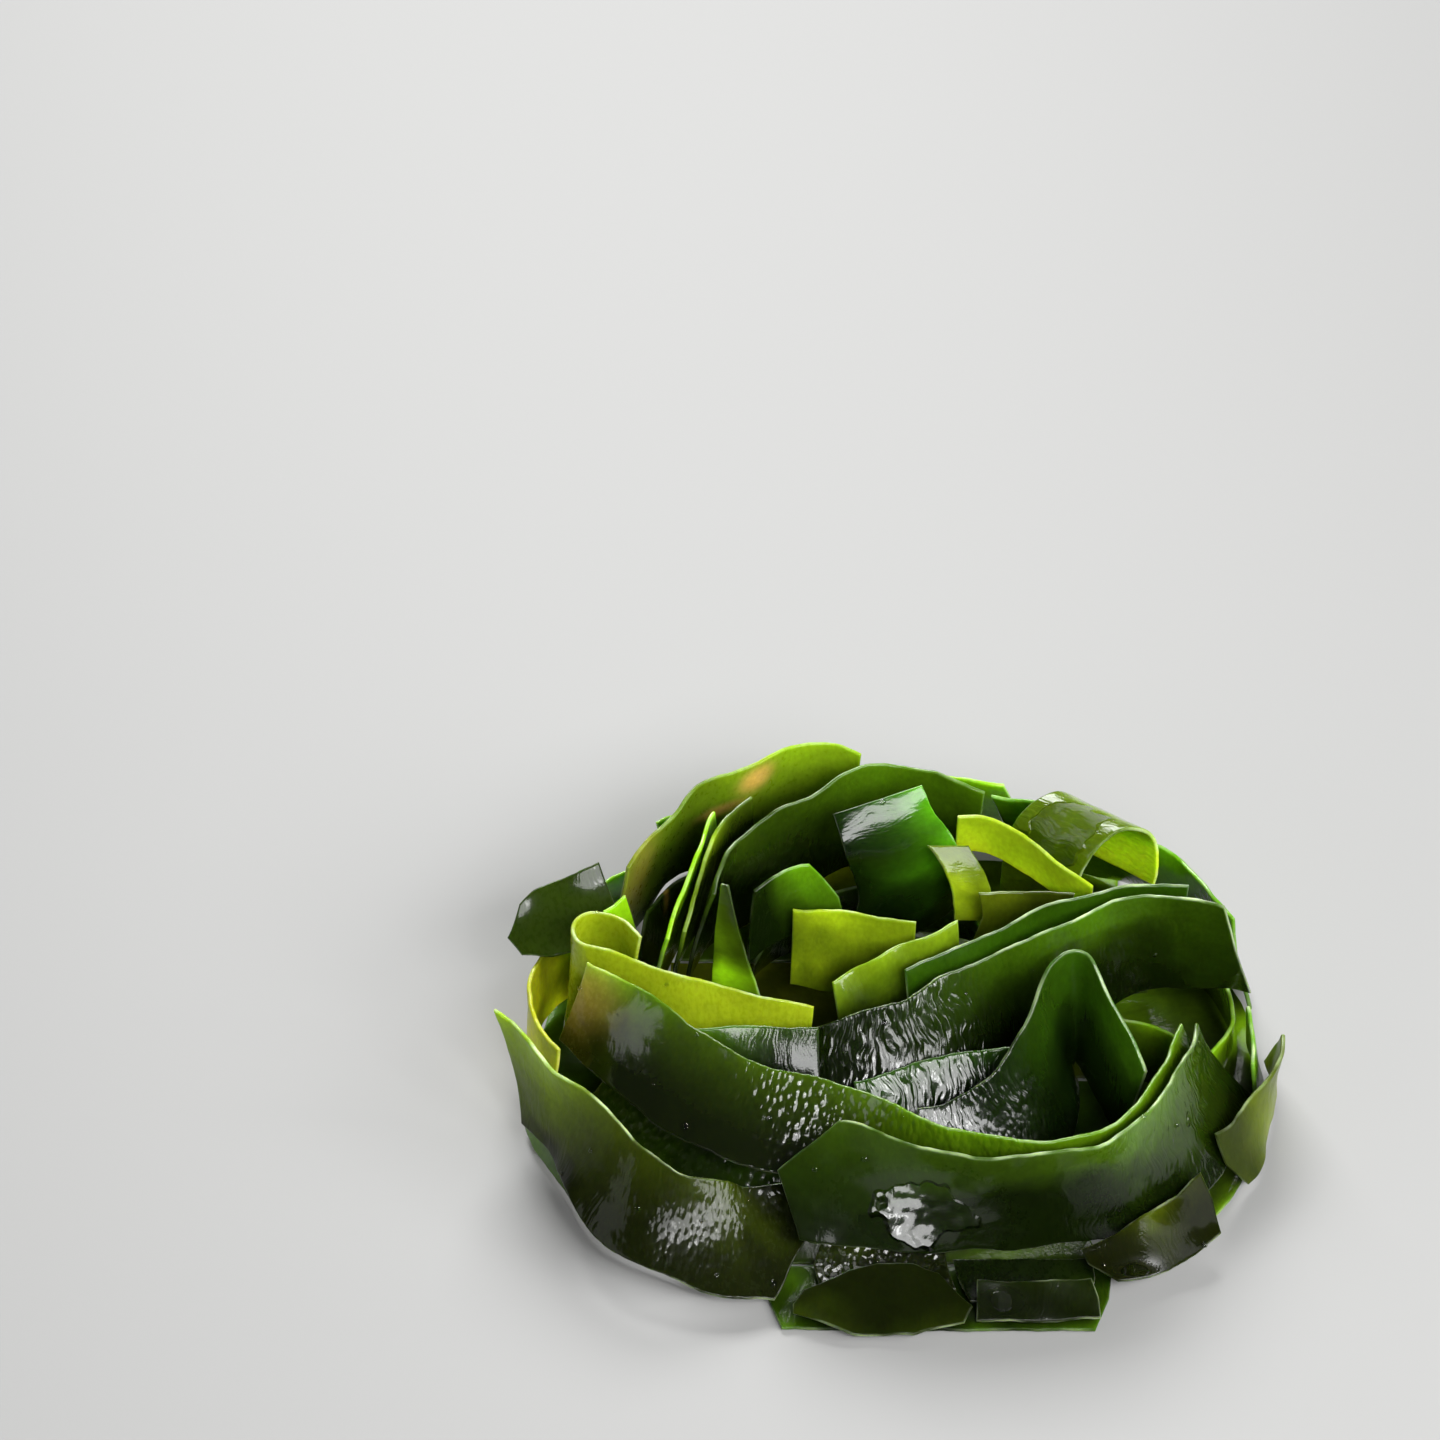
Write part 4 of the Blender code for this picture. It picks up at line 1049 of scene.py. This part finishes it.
def kelp_material(name, skin):
    """Wet kelp: a clear film of water over a skin whose colour, painted shade and glow included, wrinkles and
    blisters come with the mesh.
    """
    material = bpy.data.materials.get(name)
    if material:
        return material
    material = bpy.data.materials.new(name)
    material.use_nodes = True
    graph = Graph(material.node_tree)
    put, calc = graph.put, graph.math
    shader = material.node_tree.nodes["Principled BSDF"]
    link = material.node_tree.links.new

    def stored(attribute, output):
        return put("ShaderNodeAttribute", attribute_name=attribute).outputs[output]

    place, relief = stored("strip_place", "Vector"), stored("skin_relief", "Vector")
    cloud = graph.noise(place, (0.13, 0.13), 3.0, 0.55)
    fleck = graph.noise(place, (1.1, 0.8), 2.0)
    shade = calc("MULTIPLY", graph.ramp(cloud, 0.3, 0.7, 0.86, 1.14), graph.ramp(fleck, 0.3, 0.7, 0.9, 1.1))
    # The stored colour carries painted shade and glow; the cloud and fleck mottle varies it at random.
    link(graph.scale(stored("tint", "Color"), shade).outputs[0], shader.inputs["Base Color"])
    water = put("ShaderNodeSeparateXYZ", relief).outputs[2]
    film = calc("MINIMUM", water, 1.0)
    link(calc("MULTIPLY", film, skin.film).outputs[0], shader.inputs["Coat Weight"])
    link(calc("MULTIPLY", film, 0.14).outputs[0], shader.inputs["Specular IOR Level"])
    rough = graph.ramp(fleck, 0.3, 0.7, skin.roughness - 0.04, skin.roughness + 0.05)
    link(calc("ADD", rough, calc("MULTIPLY_ADD", film, -0.2, 0.2)).outputs[0], shader.inputs["Roughness"])

    # a splash is where the water is over 1, with an uneven outline, a slope towards the low edge and swells
    swell = graph.noise(place, (0.17, 0.14), 1.5)
    lying = graph.ramp(calc("MULTIPLY_ADD", swell, 2.4, calc("SUBTRACT", water, 2.55)), 0.35, 0.5, 0.0, 1.0)
    over = put("ShaderNodeSeparateXYZ", place).outputs[1]
    splash = calc("MULTIPLY", lying, calc("MULTIPLY_ADD", over, -0.5, calc("MULTIPLY", swell, skin.splash)))
    grain = calc("MULTIPLY", graph.noise(place, (2.6, 2.2), 2.0), skin.grain)
    height = calc("ADD", calc("ADD", skin_pattern(graph, place, relief), grain), splash)
    bump = put("ShaderNodeBump", named={"Strength": 1.0, "Distance": MM, "Height": height})
    link(bump.outputs[0], shader.inputs["Normal"])
    link(bump.outputs[0], shader.inputs["Coat Normal"])
    for socket, value in {
        "IOR": 1.42,
        "Subsurface Weight": skin.glow,
        "Subsurface Radius": (0.6, 1.0, 0.12),
        "Subsurface Scale": 0.0022,
        "Coat Roughness": 0.05,
        "Coat IOR": WATER_IOR,
    }.items():
        shader.inputs[socket].default_value = value
    return material


def water_material():
    """Clear water for the beads."""
    material = bpy.data.materials.new("water")
    material.use_nodes = True
    shader = material.node_tree.nodes["Principled BSDF"]
    for socket, value in {
        "Base Color": (1.0, 1.0, 1.0, 1.0),
        "Roughness": 0.0,
        "IOR": WATER_IOR,
        "Transmission Weight": 1.0,
    }.items():
        shader.inputs[socket].default_value = value
    return material


def amount_setting(name, description, default, low, high, **kind):
    """A setting that is a number."""
    return bpy.props.FloatProperty(
        name=name, description=description, default=default, min=low, max=high, **kind
    )


def length_setting(name, description, default, low, high):
    """A setting that is a length in metres."""
    return amount_setting(name, description, default, low, high, precision=5, unit="LENGTH")


def share_setting(name, description, default, low=0.0, high=1.0):
    """A setting that is a share."""
    return amount_setting(name, description, default, low, high, subtype="FACTOR")


def power_setting(name, description, default, low=0.0, high=200.0):
    """A setting that is a light's power in watts."""
    return amount_setting(name, description, default, low, high, unit="POWER")


class KelpSheetSettings(bpy.types.PropertyGroup):
    """The strips as sheets."""

    thickness: length_setting("Thickness", "Thickness of a strip", THICKNESS * MM, 0.0004, 0.003)
    edge_round: length_setting("Edge Round", "From a cut edge to full thickness", 0.4 * MM, 0.0001, 0.002)
    rumple: length_setting("Rumple", "Height of the soft uneven swells of a strip", 0.32 * MM, 0.0, 0.001)
    rumple_size: amount_setting("Rumple Size", "Size of the swells, in mm along the strip", 9.0, 2.0, 40.0)
    seed: bpy.props.IntProperty(name="Seed", description="Fixes the pattern of the swells", default=5)


class KelpSkinSettings(bpy.types.PropertyGroup):
    """The wet skin of the strips."""

    roughness: share_setting("Roughness", "Roughness of the skin under the water film", 0.2, 0.05, 0.8)
    film: share_setting("Water Film", "How much of the skin is under a film of water", 1.0)
    glow: share_setting("Light Through", "How much light goes into a strip and comes out elsewhere", 0.55)
    splash: amount_setting("Splash", "Height of the swells of a splash on the skin, in mm", 1.6, 0.0, 8.0)
    grain: amount_setting("Grain", "Height of the finest grain of the skin, in mm", 0.016, 0.0, 0.1)


class KelpWaterSettings(bpy.types.PropertyGroup):
    """Drops of water left on the strips."""

    spacing: length_setting("Spacing", "Least distance between two beads", 9.0 * MM, 0.001, 0.05)
    smallest: length_setting("Smallest Bead", "Radius of the smallest bead", 0.2 * MM, 0.0001, 0.002)
    largest: length_setting("Largest Bead", "Radius of the largest bead", 0.7 * MM, 0.0001, 0.003)
    seed: bpy.props.IntProperty(name="Seed", description="Fixes where the beads fall", default=11)


class KelpStageSettings(bpy.types.PropertyGroup):
    """The floor, the lights and the camera."""

    floor_colour: bpy.props.FloatVectorProperty(
        name="Floor",
        description="Colour of the floor",
        default=(0.30, 0.30, 0.296),
        min=0.0,
        max=1.0,
        size=3,
        subtype="COLOR",
    )
    surroundings: amount_setting("Surroundings", "Strength of the plain light from all round", 0.07, 0.0, 5.0)
    window_power: power_setting("Window Light", "Power of the large light behind the nest", 15.0)
    front_power: power_setting("Front Light", "Power of the wide light that makes the silvery sheen", 9.2)
    right_power: power_setting("Right Light", "Power of the light in front and to the right", 6.0)
    left_power: power_setting("Left Light", "Power of the faint light at the left", 1.6)
    lamp_power: power_setting("Front Lamp", "Power of the small light that makes the sparkle", 0.8, 0.0, 50.0)
    lens: amount_setting("Lens", "Focal length of the camera, in mm", 106.25, 20.0, 400.0)


def lay_strips(names):
    """Builds the named strips, each in place of its solid."""
    scene = bpy.context.scene
    sheet, skin = scene.kelp_sheet, scene.kelp_skin
    tree = bpy.data.node_groups.get("Kelp Sheet") or sheet_tree()
    for strip in STRIPS:
        if strip.name not in names:
            continue
        on_floor = strip.name.startswith("floor")
        look = SKINS.get(strip.name, LOW if on_floor else PLAIN)
        values = {
            "Thickness": sheet.thickness,
            "Edge Round": sheet.edge_round,
            "Rumple Height": 0.0 if on_floor else sheet.rumple,
            "Rumple Size": sheet.rumple_size,
            "Relief Share": 1.0 if look.cell < FINEST_CELL else 0.0,
            "Seed": sheet.seed,
            "Material": kelp_material("wet_" + strip.tone, skin),
        }
        piece = grown("wet_" + strip.name, strip_mesh(strip, look), tree, values)
        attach(piece, "root")
        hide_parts(strip.name)


class KELP_OT_front_strips(bpy.types.Operator):
    """Lays the strips of the front and the left"""

    bl_idname = "kelp.front_strips"
    bl_label = "Front Strips"

    def execute(self, context):
        lay_strips(FRONT_STRIPS)
        return {"FINISHED"}


class KELP_OT_middle_strips(bpy.types.Operator):
    """Lays the strips in and over the middle hollow"""

    bl_idname = "kelp.middle_strips"
    bl_label = "Middle Strips"

    def execute(self, context):
        lay_strips(MIDDLE_STRIPS)
        return {"FINISHED"}


class KELP_OT_back_strips(bpy.types.Operator):
    """Lays the strips that close the back"""

    bl_idname = "kelp.back_strips"
    bl_label = "Back Strips"

    def execute(self, context):
        lay_strips(BACK_STRIPS)
        return {"FINISHED"}


class KELP_OT_low_strips(bpy.types.Operator):
    """Lays the low strips that carry the others"""

    bl_idname = "kelp.low_strips"
    bl_label = "Low Strips"

    def execute(self, context):
        lay_strips({strip.name for strip in STRIPS} - FRONT_STRIPS - MIDDLE_STRIPS - BACK_STRIPS)
        return {"FINISHED"}


class KELP_OT_water_beads(bpy.types.Operator):
    """Scatters beads of water over the upper sides of the strips"""

    bl_idname = "kelp.water_beads"
    bl_label = "Water Beads"

    def execute(self, context):
        water = context.scene.kelp_water
        skins = [bpy.data.objects["wet_" + name].data for name in sorted(BEADED_STRIPS)]
        points = np.concatenate([coordinates(mesh) for mesh in skins])
        starts = np.cumsum([0] + [len(mesh.vertices) for mesh in skins])
        faces = [
            [corner + start for corner in face.vertices]
            for mesh, start in zip(skins, starts)
            for face in mesh.polygons
        ]
        ground = bpy.data.meshes.new("beaded")
        ground.from_pydata(points.tolist(), [], faces)
        values = {
            "Bead Spacing": water.spacing,
            "Smallest Bead": water.smallest,
            "Largest Bead": water.largest,
            "Seed": water.seed,
            "Material": water_material(),
        }
        beads = grown("water_beads", ground, bead_tree(), values)
        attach(beads, "root")
        return {"FINISHED"}


def coordinates(mesh):
    """The mesh's points as an array."""
    points = np.empty(len(mesh.vertices) * 3)
    mesh.vertices.foreach_get("co", points)
    return points.reshape(-1, 3)


def area_light(name, place, size, power):
    """A plain white light that faces the middle of the stage."""
    light = bpy.data.lights.new(name, "AREA")
    light.shape, light.size, light.size_y = "RECTANGLE", *size
    light.energy = power
    lamp = bpy.data.objects.new(name, light)
    lamp.location = place
    lamp.rotation_euler = (Vector(STAGE_MIDDLE) - Vector(place)).to_track_quat("-Z", "Y").to_euler()
    bpy.context.scene.collection.objects.link(lamp)


def lay_floor(colour):
    """A plain floor just below the nest."""
    mesh = bpy.data.meshes.new("floor")
    low, high = -FLOOR_REACH, FLOOR_REACH
    corners = [(x, y, FLOOR_LEVEL) for x, y in ((low, low), (high, low), (high, high), (low, high))]
    mesh.from_pydata(corners, [], [(0, 1, 2, 3)])
    floor = bpy.data.objects.new("floor", mesh)
    bpy.context.scene.collection.objects.link(floor)
    material = bpy.data.materials.new("pale_floor")
    material.use_nodes = True
    shader = material.node_tree.nodes["Principled BSDF"]
    shader.inputs["Base Color"].default_value = (*colour, 1.0)
    shader.inputs["Roughness"].default_value = 0.6
    mesh.materials.append(material)


def place_camera(focal_length):
    """The camera at the photograph's viewing angle."""
    lens = bpy.data.cameras.new("camera")
    lens.lens, lens.sensor_width = focal_length, 36.0
    lens.clip_start, lens.clip_end = 0.05, 20.0
    camera = bpy.data.objects.new("camera", lens)
    back = Vector((0.0, -math.cos(CAMERA_RISE), math.sin(CAMERA_RISE)))
    camera.location = Vector(CAMERA_AIM) + CAMERA_DISTANCE * back
    camera.rotation_euler = (-back).to_track_quat("-Z", "Y").to_euler()
    bpy.context.scene.collection.objects.link(camera)
    bpy.context.scene.camera = camera


class KELP_OT_stage(bpy.types.Operator):
    """Sets up the floor, the lights and the camera"""

    bl_idname = "kelp.stage"
    bl_label = "Stage"

    def execute(self, context):
        stage = context.scene.kelp_stage
        lay_floor(stage.floor_colour)
        world = bpy.data.worlds.new("surroundings")
        world.use_nodes = True
        background = world.node_tree.nodes["Background"]
        background.inputs["Color"].default_value = (1.0, 1.0, 1.0, 1.0)
        background.inputs["Strength"].default_value = stage.surroundings
        context.scene.world = world
        for name, place, size, setting in LIGHTS:
            area_light(name, place, size, getattr(stage, setting))
        place_camera(stage.lens)
        context.scene.view_settings.view_transform = "Standard"
        return {"FINISHED"}


class KELP_PT_panel(bpy.types.Panel):
    """Lists the sizes, the colours and the steps that build the nest"""

    bl_label = "Soaked Kelp Nest"
    bl_idname = "KELP_PT_panel"
    bl_space_type = "VIEW_3D"
    bl_region_type = "UI"
    bl_category = "Kelp"

    def draw(self, context):
        for key, kind in GROUPS.items():
            box = self.layout.box()
            for name in kind.__annotations__:
                box.prop(getattr(context.scene, key), name)
        for step in STEPS:
            self.layout.operator(step.bl_idname)


GROUPS = {
    "kelp_sheet": KelpSheetSettings,
    "kelp_skin": KelpSkinSettings,
    "kelp_water": KelpWaterSettings,
    "kelp_stage": KelpStageSettings,
}
STEPS = (
    KELP_OT_front_strips,
    KELP_OT_middle_strips,
    KELP_OT_back_strips,
    KELP_OT_low_strips,
    KELP_OT_water_beads,
    KELP_OT_stage,
)


def register():
    """Adds the settings, the steps and the panel to Blender."""
    for group in (*GROUPS.values(), *STEPS, KELP_PT_panel):
        bpy.utils.register_class(group)
    for name, group in GROUPS.items():
        setattr(bpy.types.Scene, name, bpy.props.PointerProperty(type=group))


def unregister():
    """Takes them out again."""
    for name in GROUPS:
        delattr(bpy.types.Scene, name)
    for group in (KELP_PT_panel, *reversed(STEPS), *reversed(GROUPS.values())):
        bpy.utils.unregister_class(group)


def main():
    """Builds the nest and its stage."""
    register()
    bpy.ops.kelp.front_strips()
    bpy.ops.kelp.middle_strips()
    bpy.ops.kelp.back_strips()
    bpy.ops.kelp.low_strips()
    bpy.ops.kelp.water_beads()
    bpy.ops.kelp.stage()


if __name__ == "__main__":
    main()
